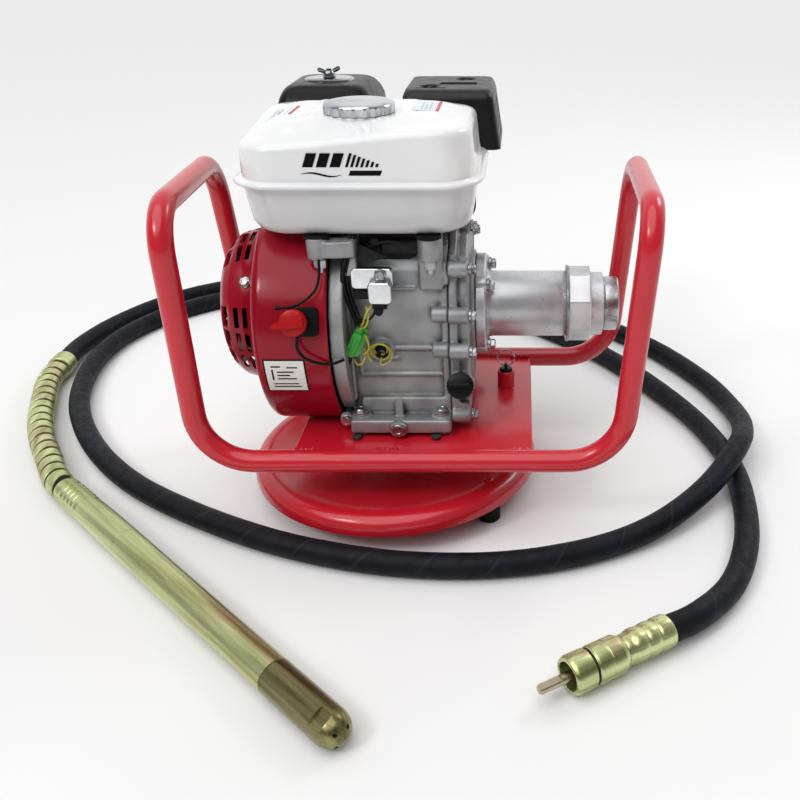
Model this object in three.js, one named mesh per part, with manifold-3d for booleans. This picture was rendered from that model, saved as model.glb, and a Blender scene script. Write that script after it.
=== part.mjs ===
// Petrol-driven concrete vibrator: an engine on a swivelling carry frame, with its
// detached flexible shaft and poker lying on the ground around it.
// Millimetres, +Z up, +X towards the drive end, -Y is the front.
import * as THREE from 'three';
import { mergeVertices } from 'three/addons/utils/BufferGeometryUtils.js';
import Module from 'manifold-3d';

const wasm = await Module();
wasm.setup();

// ---------------------------------------------------------------- driving dimensions
const GAP = 0.3;                       // clearance between touching pieces

const TUBE_R = 11;                     // carry frame tube
const RAIL_Z = 93;                     // rail centre above the ground
const RAIL_Y = 120;                    // rails stand at plus and minus this
const RAIL_HALF = 150;                 // straight rail, half length
const BOTTOM_BEND = 50;
const TOP_BEND = 40;
const PLATE = { x0: -116, x1: 117, y: 108.6, z0: 92, z1: 97 };

const SWIVEL = { x: -32, y: 0 };       // vertical swivel axis
const DISC_R = 153;
const DISC_TOP = 46;
const SHEET = 3;
const PIN = { x: 89, y: 36, r: 4.7, bottom: 47.8, ring: 121.6 };
const INDEX_TURNS = [0, 90, 180];      // the base locks at these turns

const CRANK = { y: 20, z: 201 };       // crankshaft axis, along X
const CASE = { x0: -64, x1: 36 };      // crankcase casting
const FOOT = { y0: -82, y1: 110, z0: 101, z1: 116 };
const BOLT_X = [-55, 26];
const BOLT_Y = [-68, 94];
const COVER_X1 = 58;                   // side cover outer face
const CYLINDER_TILT = THREE.MathUtils.degToRad(25);
const SHROUD = { x0: -147, x1: -75, y: 14, z: 194, r: 110, wall: 3 };
const SHROUD_FLOOR = 101.4;
const SHROUD_ROOF = 297;
const RECOIL = { x0: -192, x1: -147.3, r: 78 };
const PULL_HEIGHT = CRANK.z + 45;      // starter rope leaves the pulley here
const ADAPTER = { x0: 60.3, flange: 70, x1: 190, r: 34, bore: 28 };
const TANK = { x0: -157, x1: 73, y0: -78, y1: 102, seam: 345 };
const CAP = { x: -42, y: -12, r: 33.5, z0: 400.3, z1: 411 };

const HOSE_R = 12.5;
const HOSE_STEPS = 76;
const GUARD_R = 14.5;
const POKER = { x: -379, y: -56, z: 16.4, r: 16, angle: THREE.MathUtils.degToRad(-43.25) };
const COUPLING = { x: 229, y: -274, z: 17.6, angle: THREE.MathUtils.degToRad(211.8) };

// Hose centreline on the ground, from the drive coupling to the poker's spring guard.
const HOSE_ROUTE = [
  [229.9, -273.4, 17.6], [257, -256.6, 16.8], [297, -213, 13.5], [323, -158, 13], [339, -88, 13],
  [343, 0, 13], [326, 88, 13], [287, 185, 13], [224, 296, 13], [135, 400, 13],
  [20, 497, 13], [-105, 556, 13], [-235, 568, 13], [-350, 533, 13], [-435, 465, 13],
  [-482, 375, 13], [-490, 285, 13], [-463, 165, 13], [-405, 60, 13], [-325, -29, 13],
  [-225, -98, 13], [-110, -152, 13], [10, -178, 13], [125, -171, 13.5], [225, -130, 15],
  [298, -70, 27], [345, -4, 39.5], [367, 62, 28], [371, 130, 15.5], [350, 215, 13.5],
  [288, 333, 13], [192, 440, 13], [75, 535, 13], [-60, 600, 13], [-200, 622, 13],
  [-330, 597, 13], [-440, 533, 13], [-508, 425, 13.5], [-530.3, 320.5, 15.6], [-528, 275.6, 16],
];
// Spring guard centreline, from its collar to the poker's ferrule.
const GUARD_ROUTE = [
  [-526.45, 246.7, 16], [-525.3, 225, 16], [-518, 193, 15.6], [-504, 155, 15.4], [-484, 104, 15.4],
  [-458, 54, 15.4], [-427, 6, 15.6], [-408, -24, 16], [-394, -41.9, 16.4], [-379.4, -55.6, 16.4],
];

// ---------------------------------------------------------------- materials
const finish = (color, roughness, metalness) =>
  new THREE.MeshStandardMaterial({ color, roughness, metalness });
const redPaint = finish(0xc81f2d, 0.35, 0.1);
const shroudRed = finish(0x9e1226, 0.3, 0.1);
const redPlastic = finish(0xd81c1c, 0.4, 0);
const whitePaint = finish(0xf2f2f0, 0.3, 0.05);
const aluminium = finish(0x9a9a98, 0.5, 0.8);
const castIron = finish(0x55585c, 0.6, 0.7);
const steel = finish(0xb8babc, 0.35, 0.9);
const chrome = finish(0xdadcde, 0.1, 1);
const yellowZinc = finish(0xb6a75a, 0.35, 0.85);
const blackPlastic = finish(0x17181a, 0.45, 0);
const blackPaint = finish(0x101112, 0.5, 0.1);
const rubber = finish(0x1a1a1a, 0.8, 0);
const hoseRubber = finish(0x16171c, 0.85, 0);
const filterFoam = finish(0x3b3c3e, 0.95, 0);
const leadYellow = finish(0xc8c23a, 0.5, 0);

// ---------------------------------------------------------------- geometry helpers
function outward(geometry) {
  const plain = geometry.clone();
  plain.deleteAttribute('normal');
  plain.deleteAttribute('uv');
  const merged = mergeVertices(plain, 1e-4);
  const position = merged.attributes.position;
  const index = Array.from(merged.index.array);
  const kept = [];
  let volume = 0;
  const [a, b, c] = [new THREE.Vector3(), new THREE.Vector3(), new THREE.Vector3()];
  for (let i = 0; i < index.length; i += 3) {
    const [p, q, r] = index.slice(i, i + 3);
    if (p === q || q === r || r === p) continue;
    a.fromBufferAttribute(position, p);
    b.fromBufferAttribute(position, q);
    c.fromBufferAttribute(position, r);
    volume += a.dot(b.cross(c));
    kept.push(p, q, r);
  }
  if (volume < 0) kept.reverse();
  merged.setIndex(kept);
  merged.computeVertexNormals();
  return merged;
}

function solid(geometry) {
  const closed = outward(geometry);
  return new wasm.Manifold(new wasm.Mesh({
    numProp: 3,
    vertProperties: new Float32Array(closed.attributes.position.array),
    triVerts: new Uint32Array(closed.index.array),
  }));
}

function geometryOf(manifold) {
  const mesh = manifold.getMesh();
  const geometry = new THREE.BufferGeometry();
  geometry.setAttribute('position', new THREE.BufferAttribute(new Float32Array(mesh.vertProperties), 3));
  geometry.setIndex(new THREE.BufferAttribute(new Uint32Array(mesh.triVerts), 1));
  geometry.computeVertexNormals();
  return geometry;
}

const join = (...parts) => geometryOf(parts.slice(1).reduce((sum, p) => sum.add(solid(p)), solid(parts[0])));
const cut = (base, ...tools) => geometryOf(tools.reduce((sum, t) => sum.subtract(solid(t)), solid(base)));

const box = (x0, x1, y0, y1, z0, z1) =>
  new THREE.BoxGeometry(x1 - x0, y1 - y0, z1 - z0).translate((x0 + x1) / 2, (y0 + y1) / 2, (z0 + z1) / 2);
const rodZ = (r, z0, z1, x = 0, y = 0, sides = 12) =>
  new THREE.CylinderGeometry(r, r, z1 - z0, sides).rotateX(Math.PI / 2).translate(x, y, (z0 + z1) / 2);
const rodX = (r, x0, x1, y = 0, z = 0, sides = 20) =>
  new THREE.CylinderGeometry(r, r, x1 - x0, sides).rotateZ(Math.PI / 2).translate((x0 + x1) / 2, y, z);
const rodY = (r, y0, y1, x = 0, z = 0, sides = 12) =>
  new THREE.CylinderGeometry(r, r, y1 - y0, sides).translate(x, (y0 + y1) / 2, z);

function turned(profile, sides) {
  return outward(new THREE.LatheGeometry(profile.map(([r, h]) => new THREE.Vector2(r, h)), sides));
}
const turnedZ = (profile, x = 0, y = 0, sides = 24) => turned(profile, sides).rotateX(Math.PI / 2).translate(x, y, 0);
const turnedX = (profile, y = 0, z = 0, sides = 24) => turned(profile, sides).rotateZ(-Math.PI / 2).translate(0, y, z);

function extrude(points, depth, bevel) {
  const shape = new THREE.Shape(points.map(([a, b]) => new THREE.Vector2(a, b)));
  const geometry = new THREE.ExtrudeGeometry(shape, {
    depth: depth - 2 * bevel,
    bevelEnabled: bevel > 0,
    bevelThickness: bevel,
    bevelSize: bevel,
    bevelOffset: -bevel,
    bevelSegments: 1,
    steps: 1,
  });
  return geometry.translate(0, 0, bevel);
}
// Outline in (x, y), extruded up Z.
const extrudeZ = (points, z0, z1, bevel = 0) => outward(extrude(points, z1 - z0, bevel)).translate(0, 0, z0);
// Outline in (y, z), extruded along X.
function extrudeX(points, x0, x1, bevel = 0) {
  const turn = new THREE.Matrix4().makeBasis(
    new THREE.Vector3(0, 1, 0), new THREE.Vector3(0, 0, 1), new THREE.Vector3(1, 0, 0));
  return outward(extrude(points, x1 - x0, bevel)).applyMatrix4(turn).translate(x0, 0, 0);
}

function roundedOutline(x0, x1, y0, y1, r, arc = 4) {
  const corners = [[x1 - r, y1 - r, 0], [x0 + r, y1 - r, 90], [x0 + r, y0 + r, 180], [x1 - r, y0 + r, 270]];
  return corners.flatMap(([cx, cy, start]) => Array.from({ length: arc + 1 }, (_, i) => {
    const angle = THREE.MathUtils.degToRad(start + 90 * i / arc);
    return [cx + r * Math.cos(angle), cy + r * Math.sin(angle)];
  }));
}

// A stack of matching outlines, each with its own height, closed at both ends.
function stacked(levels) {
  const count = levels[0].outline.length;
  const positions = [];
  for (const { outline, z } of levels) outline.forEach(([x, y]) => positions.push(x, y, z));
  const index = [];
  for (let level = 0; level + 1 < levels.length; level += 1) {
    for (let i = 0; i < count; i += 1) {
      const j = (i + 1) % count;
      const [a, b] = [level * count + i, level * count + j];
      index.push(a, b, a + count, b, b + count, a + count);
    }
  }
  const last = (levels.length - 1) * count;
  for (let i = 1; i + 1 < count; i += 1) {
    index.push(0, i + 1, i);
    index.push(last, last + i, last + i + 1);
  }
  const geometry = new THREE.BufferGeometry();
  geometry.setAttribute('position', new THREE.BufferAttribute(new Float32Array(positions), 3));
  geometry.setIndex(index);
  return outward(geometry);
}

function ringSection(r, sides) {
  return new THREE.Shape(Array.from({ length: sides }, (_, i) => {
    const angle = 2 * Math.PI * i / sides;
    return new THREE.Vector2(r * Math.cos(angle), r * Math.sin(angle));
  }));
}

function tubeAlong(points, r, sides, steps) {
  const path = new THREE.CatmullRomCurve3(points.map((p) => new THREE.Vector3(...p)), false, 'centripetal');
  return outward(new THREE.ExtrudeGeometry(ringSection(r, sides), { steps, extrudePath: path, bevelEnabled: false }));
}

// A path of straight stretches whose corners are rounded with the given radii.
function bentTube(corners, radii, r, sides, steps) {
  const points = corners.map((p) => new THREE.Vector3(...p));
  const path = new THREE.CurvePath();
  let from = points[0];
  for (let i = 1; i + 1 < points.length; i += 1) {
    const back = points[i - 1].clone().sub(points[i]).normalize().multiplyScalar(radii[i - 1]);
    const ahead = points[i + 1].clone().sub(points[i]).normalize().multiplyScalar(radii[i - 1]);
    const start = points[i].clone().add(back);
    const end = points[i].clone().add(ahead);
    path.add(new THREE.LineCurve3(from, start));
    const hold1 = start.clone().lerp(points[i], 0.55);
    const hold2 = end.clone().lerp(points[i], 0.55);
    path.add(new THREE.CubicBezierCurve3(start, hold1, hold2, end));
    from = end;
  }
  path.add(new THREE.LineCurve3(from, points[points.length - 1]));
  return outward(new THREE.ExtrudeGeometry(ringSection(r, sides), { steps, extrudePath: path, bevelEnabled: false }));
}

// ---------------------------------------------------------------- scene graph
const root = new THREE.Group();
const hoseSet = new THREE.Group();     // everything on the flexible shaft
const machine = new THREE.Group();     // everything that stands on the base
root.add(hoseSet, machine);

function add(name, geometry, material, group = machine) {
  const mesh = new THREE.Mesh(geometry, material);
  mesh.name = name;
  group.add(mesh);
  return mesh;
}

// ---------------------------------------------------------------- swivel base
function addBase() {
  const rim = 27;
  const plateau = 134;
  const outer = [[DISC_R, rim], [DISC_R, 32], [150, 37.5], [144, 42.5], [plateau, DISC_TOP]];
  const inner = outer.map(([r, z]) => [r - SHEET, z - (z === rim ? 0 : SHEET)]).reverse();
  const profile = [[10.2, DISC_TOP - SHEET], [10.2, 49.6], [30, 49.6], [30, DISC_TOP], ...outer.slice().reverse(),
    ...inner.slice().reverse(), [10.2, DISC_TOP - SHEET]];
  const pressing = turnedZ(profile, SWIVEL.x, SWIVEL.y, 36);
  const holes = INDEX_TURNS.map((turn) => rodZ(5.6, 30, 60, PIN.x - SWIVEL.x, PIN.y - SWIVEL.y)
    .rotateZ(THREE.MathUtils.degToRad(turn)).translate(SWIVEL.x, SWIVEL.y, 0));
  add('swivel_disc', cut(pressing, ...holes), redPaint);

  [-38, 82, 202].forEach((angle, i) => {
    const turn = THREE.MathUtils.degToRad(angle);
    const foot = turnedZ([[0, 0], [11, 0], [12, 2], [12, 26], [7, 35], [3, 35], [3, 41.3], [0, 41.3]], 0, 0, 10);
    foot.translate(SWIVEL.x + 132 * Math.cos(turn), SWIVEL.y + 132 * Math.sin(turn), 0);
    add(`rubber_foot_${i + 1}`, foot, rubber);
  });
}

// ---------------------------------------------------------------- carry frame
function addFrame() {
  const rail = (y) => rodX(TUBE_R, -RAIL_HALF + GAP, RAIL_HALF - GAP, y, RAIL_Z, 10);
  add('front_rail', rail(-RAIL_Y), redPaint);
  add('rear_rail', rail(RAIL_Y), redPaint);

  const handle = (side, low, highFront, highRear) => bentTube([
    [side * RAIL_HALF, -RAIL_Y, RAIL_Z],
    [side * low, -RAIL_Y, RAIL_Z],
    [side * highFront, -RAIL_Y, 338],
    [side * highRear, RAIL_Y, 327],
    [side * (low + 8), RAIL_Y, RAIL_Z],
    [side * RAIL_HALF, RAIL_Y, RAIL_Z],
  ], [BOTTOM_BEND, TOP_BEND, TOP_BEND, BOTTOM_BEND], TUBE_R, 10, 36);
  add('left_handle', handle(-1, 202, 203, 229), redPaint);
  add('right_handle', handle(1, 201, 219, 229), redPaint);

  const holes = BOLT_X.flatMap((x) => BOLT_Y.map((y) => rodZ(4.6, 80, 105, x, y, 10)));
  const plate = box(PLATE.x0, PLATE.x1, -PLATE.y, PLATE.y, PLATE.z0, PLATE.z1);
  add('engine_plate', cut(plate, ...holes, rodZ(5.3, 80, 105, PIN.x, PIN.y)), redPaint);

  const boss = [[0, 30], [15, 30], [15, 42.7], [9.6, 42.7], [9.6, 50], [26, 50], [26, 82], [48, 86], [48, 91.7], [0, 91.7]];
  add('swivel_boss', turnedZ(boss, SWIVEL.x, SWIVEL.y, 16), steel);

  const sleeve = [[5.3, 97.3], [9.3, 97.3], [9.3, 115], [8.3, 116], [7.2, 116], [7.2, 104.5], [5.3, 104.5], [5.3, 97.3]];
  add('lock_pin_sleeve', turnedZ(sleeve, PIN.x, PIN.y, 16), redPaint);
}

function addLockPin() {
  const shank = rodZ(PIN.r, PIN.bottom, 114, PIN.x, PIN.y);
  const head = rodZ(6.8, 112, 118.8, PIN.x, PIN.y);
  const eye = box(PIN.x - 1.6, PIN.x + 1.6, PIN.y - 3.4, PIN.y + 3.4, 118, PIN.ring + 2.8);
  const hole = rodX(1.4, PIN.x - 5, PIN.x + 5, PIN.y, PIN.ring, 10);
  add('lock_pin', cut(join(shank, head, eye), hole), blackPaint);
  const ringRadius = 9.5;
  const wire = new THREE.TorusGeometry(ringRadius, 0.9, 6, 16).rotateX(Math.PI / 2);
  add('pull_ring', wire.translate(PIN.x, PIN.y, PIN.ring + ringRadius), steel);
}

// ---------------------------------------------------------------- engine castings
function circleOutline(y, z, r, floor, roof, count) {
  return Array.from({ length: count }, (_, i) => {
    const angle = 2 * Math.PI * (i + 0.5) / count;
    const height = z + r * Math.sin(angle);
    return [y + r * Math.cos(angle), Math.min(roof, Math.max(floor, height))];
  });
}

function addCrankcase() {
  const body = [[-58, 112], [-58, 238], [-52, 262], [-40, 283], [40, 283], [57, 270], [96, 184], [82, 150], [80, 112]];
  const block = extrudeX(body, CASE.x0, CASE.x1, 2);
  const foot = box(CASE.x0, CASE.x1, FOOT.y0, FOOT.y1, FOOT.z0, FOOT.z1);
  const pads = BOLT_X.flatMap((x) => BOLT_Y.map((y) => rodZ(8, PLATE.z1 + GAP, FOOT.z0 + 2, x, y, 10)));
  const fanSide = extrudeX(circleOutline(SHROUD.y, SHROUD.z, 103, SHROUD_FLOOR, 290, 28), SHROUD.x1 + GAP, CASE.x0 + 2);
  const ribs = [150, 190, 228].map((z) => box(-50, 30, -61, -50, z, z + 3));
  const upright = box(-4, -1, -61, -50, 150, 230);
  const post = box(9, 30, -68, -50, 244, 299.5);
  const bracket = join(box(-92, -50, -76, -56, 285, 299.6), rodY(9, -77, -63, -72, 287),
    box(-62, -53, -68, -45, 255, 290));
  const holes = BOLT_X.flatMap((x) => BOLT_Y.map((y) => rodZ(4.6, 90, 120, x, y, 10)));
  const shaft = rodX(14, -90, 40, CRANK.y, CRANK.z);
  const drain = rodY(5.3, -90, -70, -16, 108.5);
  add('crankcase', cut(join(block, foot, fanSide, upright, post, bracket, ...ribs, ...pads), shaft, drain, ...holes),
    aluminium);

  const plug = turned([[0, 0], [9, 0], [9, 5], [5, 5], [5, 14], [0, 14]], 12);
  add('oil_drain_plug', plug.translate(-16, FOOT.y0 - 5.3, 108.5), steel);

  BOLT_X.forEach((x, i) => BOLT_Y.forEach((y, j) => {
    const profile = [[0, 84], [7.5, 84], [7.5, 91.6], [4, 91.6], [4, 116.3], [7.5, 116.3], [7.5, 122], [0, 122]];
    add(`engine_bolt_${2 * i + j + 1}`, turnedZ(profile, x, y, 6), steel);
  }));
}

function addSideCover() {
  const outline = [[-62, 104], [-68, 120], [-68, 180], [-62, 240], [-45, 275], [-15, 290], [30, 290], [62, 272],
    [84, 236], [92, 180], [88, 125], [78, 104]];
  const plate = extrudeX(outline, CASE.x1 + GAP, COVER_X1, 3);
  const hub = rodX(50, COVER_X1 - 5, ADAPTER.x0 - GAP, CRANK.y, CRANK.z, 24);
  const filler = rodY(14, -16, 16).rotateX(-0.44).translate(47, -64, 147);
  const bosses = [[-53, 264], [-66, 222], [-70, 186], [-64, 114]].map(([y, z]) =>
    rodX(8, CASE.x1 + 4, COVER_X1 + 2, y, z, 12));
  const fillerBore = rodY(5, -40, 40).rotateX(-0.44).translate(47, -64, 147);
  const shaft = rodX(14, 20, 80, CRANK.y, CRANK.z);
  const blunt = box(CASE.x1 + GAP, COVER_X1 + 6, -100, 120, 97.4, 300);
  const casting = join(plate, hub, filler, ...bosses);
  const kept = geometryOf(solid(casting).intersect(solid(blunt)));
  add('crankcase_side_cover', cut(kept, shaft, fillerBore), aluminium);

  const knob = turned([[0, 0], [12.8, 0], [12.8, 11], [10.5, 14], [0, 14]], 16);
  const stick = rodY(3.4, -44, 1, 0, 0, 10);
  const dipstick = join(knob, stick).rotateZ(Math.PI).rotateX(-0.44);
  const out = new THREE.Vector3(0, -Math.cos(0.44), Math.sin(0.44)).multiplyScalar(16.4);
  add('oil_dipstick', dipstick.translate(47, -64 + out.y, 147 + out.z), blackPlastic);
}

function addCylinder() {
  const barrel = new THREE.Group();
  barrel.position.set(0, CRANK.y, CRANK.z);
  barrel.rotation.x = CYLINDER_TILT;
  machine.add(barrel);
  const core = box(-46, 18, 64, 165, -36, 36);
  const fins = Array.from({ length: 9 }, (_, i) => box(-61.5, 35, 74 + 10 * i, 77 + 10 * i, -50, 50));
  const tower = box(-30, 2, 64, 80, -44, 44);
  const plugSeat = rodY(9, 150, 166, 25, 6);
  add('cylinder_and_head', join(core, tower, ...fins, plugSeat), aluminium, barrel);

  const outline = roundedOutline(-46, 10, -36, 36, 10).map(([x, z]) => [x, z]);
  const cover = extrudeZ(outline, 0, 21, 4).rotateX(-Math.PI / 2);
  add('rocker_cover', cover.translate(0, 165.3, 0), steel, barrel);

  const insulator = rodY(8.5, 166.4, 196, 25, 6);
  const elbow = rodX(6, 25, 52, 190, 6, 10);
  add('spark_plug_cap', join(insulator, elbow), rubber, barrel);
}

// ---------------------------------------------------------------- intake and exhaust
function addIntake() {
  const bodyBlock = box(-106, -78, 134, 170, 244, 284);
  const neck = rodX(17, -79, CASE.x0 - GAP, 152, 262, 16);
  const bowl = rodZ(15, 232, 246, -92, 152, 16);
  const pivot = [rodZ(3.2, 270, 300, -86, 145, 12), rodZ(3.2, 270, 300, -98, 160, 12)];
  add('carburettor', cut(join(bodyBlock, neck, bowl), ...pivot), aluminium);

  const lever = (x, y, reach, z) => join(
    rodZ(2.8, 274, z + 3, x, y, 12),
    box(x - 3, x + 3, y, y + reach, z, z + 3),
    rodZ(5, z, z + 6, x, y + reach, 12));
  add('throttle_lever', lever(-86, 145, 34, 291), steel);
  add('choke_lever', lever(-98, 160, 32, 286), blackPlastic);

  const tap = join(rodY(3, 0, 7, 0, 0, 12), box(-3, 3, 6, 11, -5, 22));
  add('fuel_valve_lever', tap.translate(-92, 172.5, 238), redPlastic);

  const elbow = join(rodX(15, -124, -106.3, 152, 262, 16), rodZ(15, 247, 330, -125, 152, 16));
  const tray = extrudeZ(roundedOutline(-150, -53, 118, 228, 14), 322, 340);
  const stud = rodZ(2.8, 338, 414, -104, 173, 8);
  add('air_cleaner_base', join(elbow, tray, stud), blackPlastic);

  const element = extrudeZ(roundedOutline(-140, -64, 130, 216, 20), 340.3, 386);
  add('air_filter_element', cut(element, rodZ(4, 330, 400, -104, 173, 12)), filterFoam);

  const shell = (inset, top) => stacked([
    { outline: roundedOutline(-153 + inset, -50 - inset, 115 + inset, 231 - inset, 14 - inset), z: 340.3 },
    { outline: roundedOutline(-153 + inset, -50 - inset, 115 + inset, 231 - inset, 14 - inset), z: top - 22 },
    { outline: roundedOutline(-150 + inset, -56 - inset, 121 + inset, 228 - inset, 14 - inset), z: top },
  ]);
  const hollow = shell(3, 400).translate(0, 0, -3);
  add('air_cleaner_cover', cut(shell(0, 403), hollow, rodZ(3.6, 380, 420, -104, 173, 12)), blackPlastic);

  const wing = (side) => box(0, 13, -1.5, 1.5, 406, 417).rotateZ(side).translate(-104, 173, 0);
  const hub = rodZ(6.5, 403.3, 412, -104, 173, 16);
  add('cleaner_wing_nut', cut(join(hub, wing(0.6), wing(0.6 + Math.PI)), rodZ(3.4, 395, 425, -104, 173, 12)), chrome);
}

function addExhaust() {
  const can = extrudeZ(roundedOutline(-12, 68, 118, 216, 16), 322, 392);
  const pipe = join(rodX(13, CASE.x1 + GAP, 52, 150, 262, 16), rodZ(13, 249, 326, 52, 150, 16));
  add('muffler', join(can, pipe), castIron);
  const wall = (inset) => stacked([
    { outline: roundedOutline(-21 + inset, 84 - inset, 109.5 + inset, 226 - inset, 9 - inset), z: 340 },
    { outline: roundedOutline(-19 + inset, 77 - inset, 112 + inset, 224 - inset, 9 - inset), z: 394 - inset },
    { outline: roundedOutline(-16 + inset, 73 - inset, 123 + inset, 222 - inset, 9 - inset), z: 400 - inset },
  ]);
  add('muffler_guard', cut(wall(0), wall(2.5), box(-30, 90, 100, 230, 330, 342)), blackPaint);
}

// ---------------------------------------------------------------- fan and starter
function addShroud() {
  const shellOf = (r, floor, roof, x0, x1) => extrudeX(circleOutline(SHROUD.y, SHROUD.z, r, floor, roof, 32), x0, x1);
  const outer = shellOf(SHROUD.r, SHROUD_FLOOR, SHROUD_ROOF, SHROUD.x0, SHROUD.x1);
  const { wall } = SHROUD;
  const inner = shellOf(SHROUD.r - wall, SHROUD_FLOOR + wall, SHROUD_ROOF - wall, SHROUD.x0 + wall, SHROUD.x1 + 5);
  const mouth = rodX(66, SHROUD.x0 - 5, SHROUD.x0 + 10, CRANK.y, CRANK.z, 24);
  add('fan_shroud', cut(outer, inner, mouth), shroudRed);

  const dome = [[RECOIL.r, RECOIL.x1], [RECOIL.r, -160], [74, -176], [62, -188], [50, RECOIL.x0], [0, RECOIL.x0],
    [0, -156], [3.6, -156], [3.6, -189], [49, -189], [59, -185.5], [71, -174], [75, -160], [75, RECOIL.x1], [RECOIL.r, RECOIL.x1]];
  const slots = Array.from({ length: 10 }, (_, i) => {
    const slot = box(-184, -164, -4, 4, 60, 90);
    return slot.rotateX(2 * Math.PI * (i + 0.5) / 10).translate(0, CRANK.y, CRANK.z);
  });
  const ropeExit = rodY(5.5, CRANK.y + 50, CRANK.y + 90, -168, PULL_HEIGHT, 12);
  add('recoil_cover', cut(turnedX(dome, CRANK.y, CRANK.z, 24), ...slots, ropeExit), shroudRed);

  const pulley = [[4, -178], [49, -178], [49, -175], [45, -173], [45, -163], [49, -161], [49, -158], [4, -158], [4, -178]];
  add('starter_pulley', turnedX(pulley, CRANK.y, CRANK.z, 20), blackPlastic);

  const bar = rodZ(8.5, PULL_HEIGHT - 40, PULL_HEIGHT + 40, -168, 108, 16);
  const stem = rodY(7.5, 90, 104, -168, PULL_HEIGHT, 16);
  const rope = rodY(2.6, 66, 92, -168, PULL_HEIGHT, 10);
  add('starter_grip', join(bar, stem, rope), blackPlastic);

  const blades = Array.from({ length: 10 }, (_, i) =>
    box(-143, -126, -1.5, 1.5, 52, 86).rotateX(2 * Math.PI * i / 10).translate(0, CRANK.y, CRANK.z));
  const disc = rodX(88, -127, -92, CRANK.y, CRANK.z, 24);
  const bore = rodX(10.4, -160, -80, CRANK.y, CRANK.z, 20);
  add('flywheel_fan', cut(join(disc, ...blades), bore), castIron);

  const shaft = [[0, -140], [10, -140], [10, -91], [13.6, -91], [13.6, 64], [20, 64], [20, 96], [25, 100], [25, 148],
    [8, 148], [8, 118], [0, 118]];
  add('crankshaft', turnedX(shaft, CRANK.y, CRANK.z, 20), steel);
}

// ---------------------------------------------------------------- drive end
function addAdapter() {
  const { x0, flange, x1, r, bore } = ADAPTER;
  const profile = [[bore, x0], [52.5, x0], [52.5, flange], [r, flange + 2], [r, 152], [32.6, 152], [32.6, x1],
    [bore, x1], [bore, x0]];
  add('drive_adapter', turnedX(profile, CRANK.y, CRANK.z, 28), aluminium);
  const nut = rodX(39.5, 152.3, 178, CRANK.y, CRANK.z, 8);
  const taper = turnedX([[0, 170], [37.5, 170], [37.5, 180], [35.2, 189.7], [0, 189.7]], CRANK.y, CRANK.z, 24);
  add('collar_nut', cut(join(nut, taper), rodX(33.3, 150, 200, CRANK.y, CRANK.z, 28)), aluminium);
  const sleeve = [[18, 162], [27.6, 162], [27.6, 206], [18, 206], [18, 162]];
  add('coupling_sleeve', turnedX(sleeve, CRANK.y, CRANK.z, 28), steel);
}

// ---------------------------------------------------------------- tank
function tankLevels(inset) {
  const { x0, x1, y0, y1, seam } = TANK;
  const level = (z, left, right, front, back, corner) => ({
    z, outline: roundedOutline(left + inset, right - inset, front + inset, back - inset, corner - inset, 4),
  });
  const lower = [level(301, -136, 50, -56, 82, 26), level(306, -144, 58, -66, 90, 32), level(seam, -149, 65, -71, 95, 36)];
  const lip = [level(seam, x0, x1, y0, y1, 42), level(seam + 4.5, x0, x1, y0, y1, 42)];
  const upper = [level(seam + 4.5, -149, 65, -71, 95, 36), level(378, -147, 60, -69, 93, 36),
    level(391, -141, 52, -62, 88, 34), level(397.5, -128, 40, -50, 78, 30), level(400, -110, 24, -34, 64, 26)];
  return inset > 0 ? [...lower, ...upper.slice(1)] : [...lower, ...lip, ...upper];
}

function addTank() {
  const wall = 1.6;
  const inside = stacked(tankLevels(wall)).scale(1, 1, 0.96).translate(0, 0, 14.2);
  const neck = rodZ(22, 380, 410, CAP.x, CAP.y, 24);
  add('fuel_tank', cut(stacked(tankLevels(0)), inside, neck), whitePaint);

  const { x, y, r, z0, z1 } = CAP;
  const capProfile = [[0, z0 - 14], [20, z0 - 14], [20, z0], [r, z0], [r, z1 - 3], [r - 3, z1], [0, z1]];
  add('fuel_cap', turnedZ(capProfile, x, y, 24), chrome);
}

// ---------------------------------------------------------------- electrics
function addElectrics() {
  const unit = join(box(-52, -22, -70, -61.4, 250, 268), box(-34, -20, -80, -61.4, 238, 258));
  add('ignition_unit', unit, steel);

  const lean = 0.24;
  const place = (geometry) => geometry.rotateX(-lean).translate(-102, SHROUD.y, SHROUD.z);
  const face = -SHROUD.r;
  const angle = 0.06;
  const seat = (geometry) => place(geometry.rotateX(-angle));
  add('switch_housing', seat(join(box(-6, 24, face - 9, face - 0.6, -14, 14), rodY(9, face - 11, face - 5))),
    blackPlastic);
  const knob = join(rodY(12.5, face - 24, face - 11.3, 0, 0, 16), box(-18, 0, face - 22, face - 13, -3.5, 3.5));
  add('switch_knob', seat(knob), redPlastic);

  const switchLead = [[-88, -104, 213], [-87, -102, 198], [-79, -101, 186], [-70, -98, 180], [-64, -94, 184]];
  add('switch_lead', tubeAlong(switchLead, 1.4, 8, 12), blackPlastic);
  const sensorLead = [[-30, -84, 236], [-36, -80, 222], [-48, -74, 208], [-52, -72, 190], [-58, -70, 180]];
  add('sensor_lead', tubeAlong(sensorLead, 2.2, 8, 12), leadYellow);
}

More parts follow.
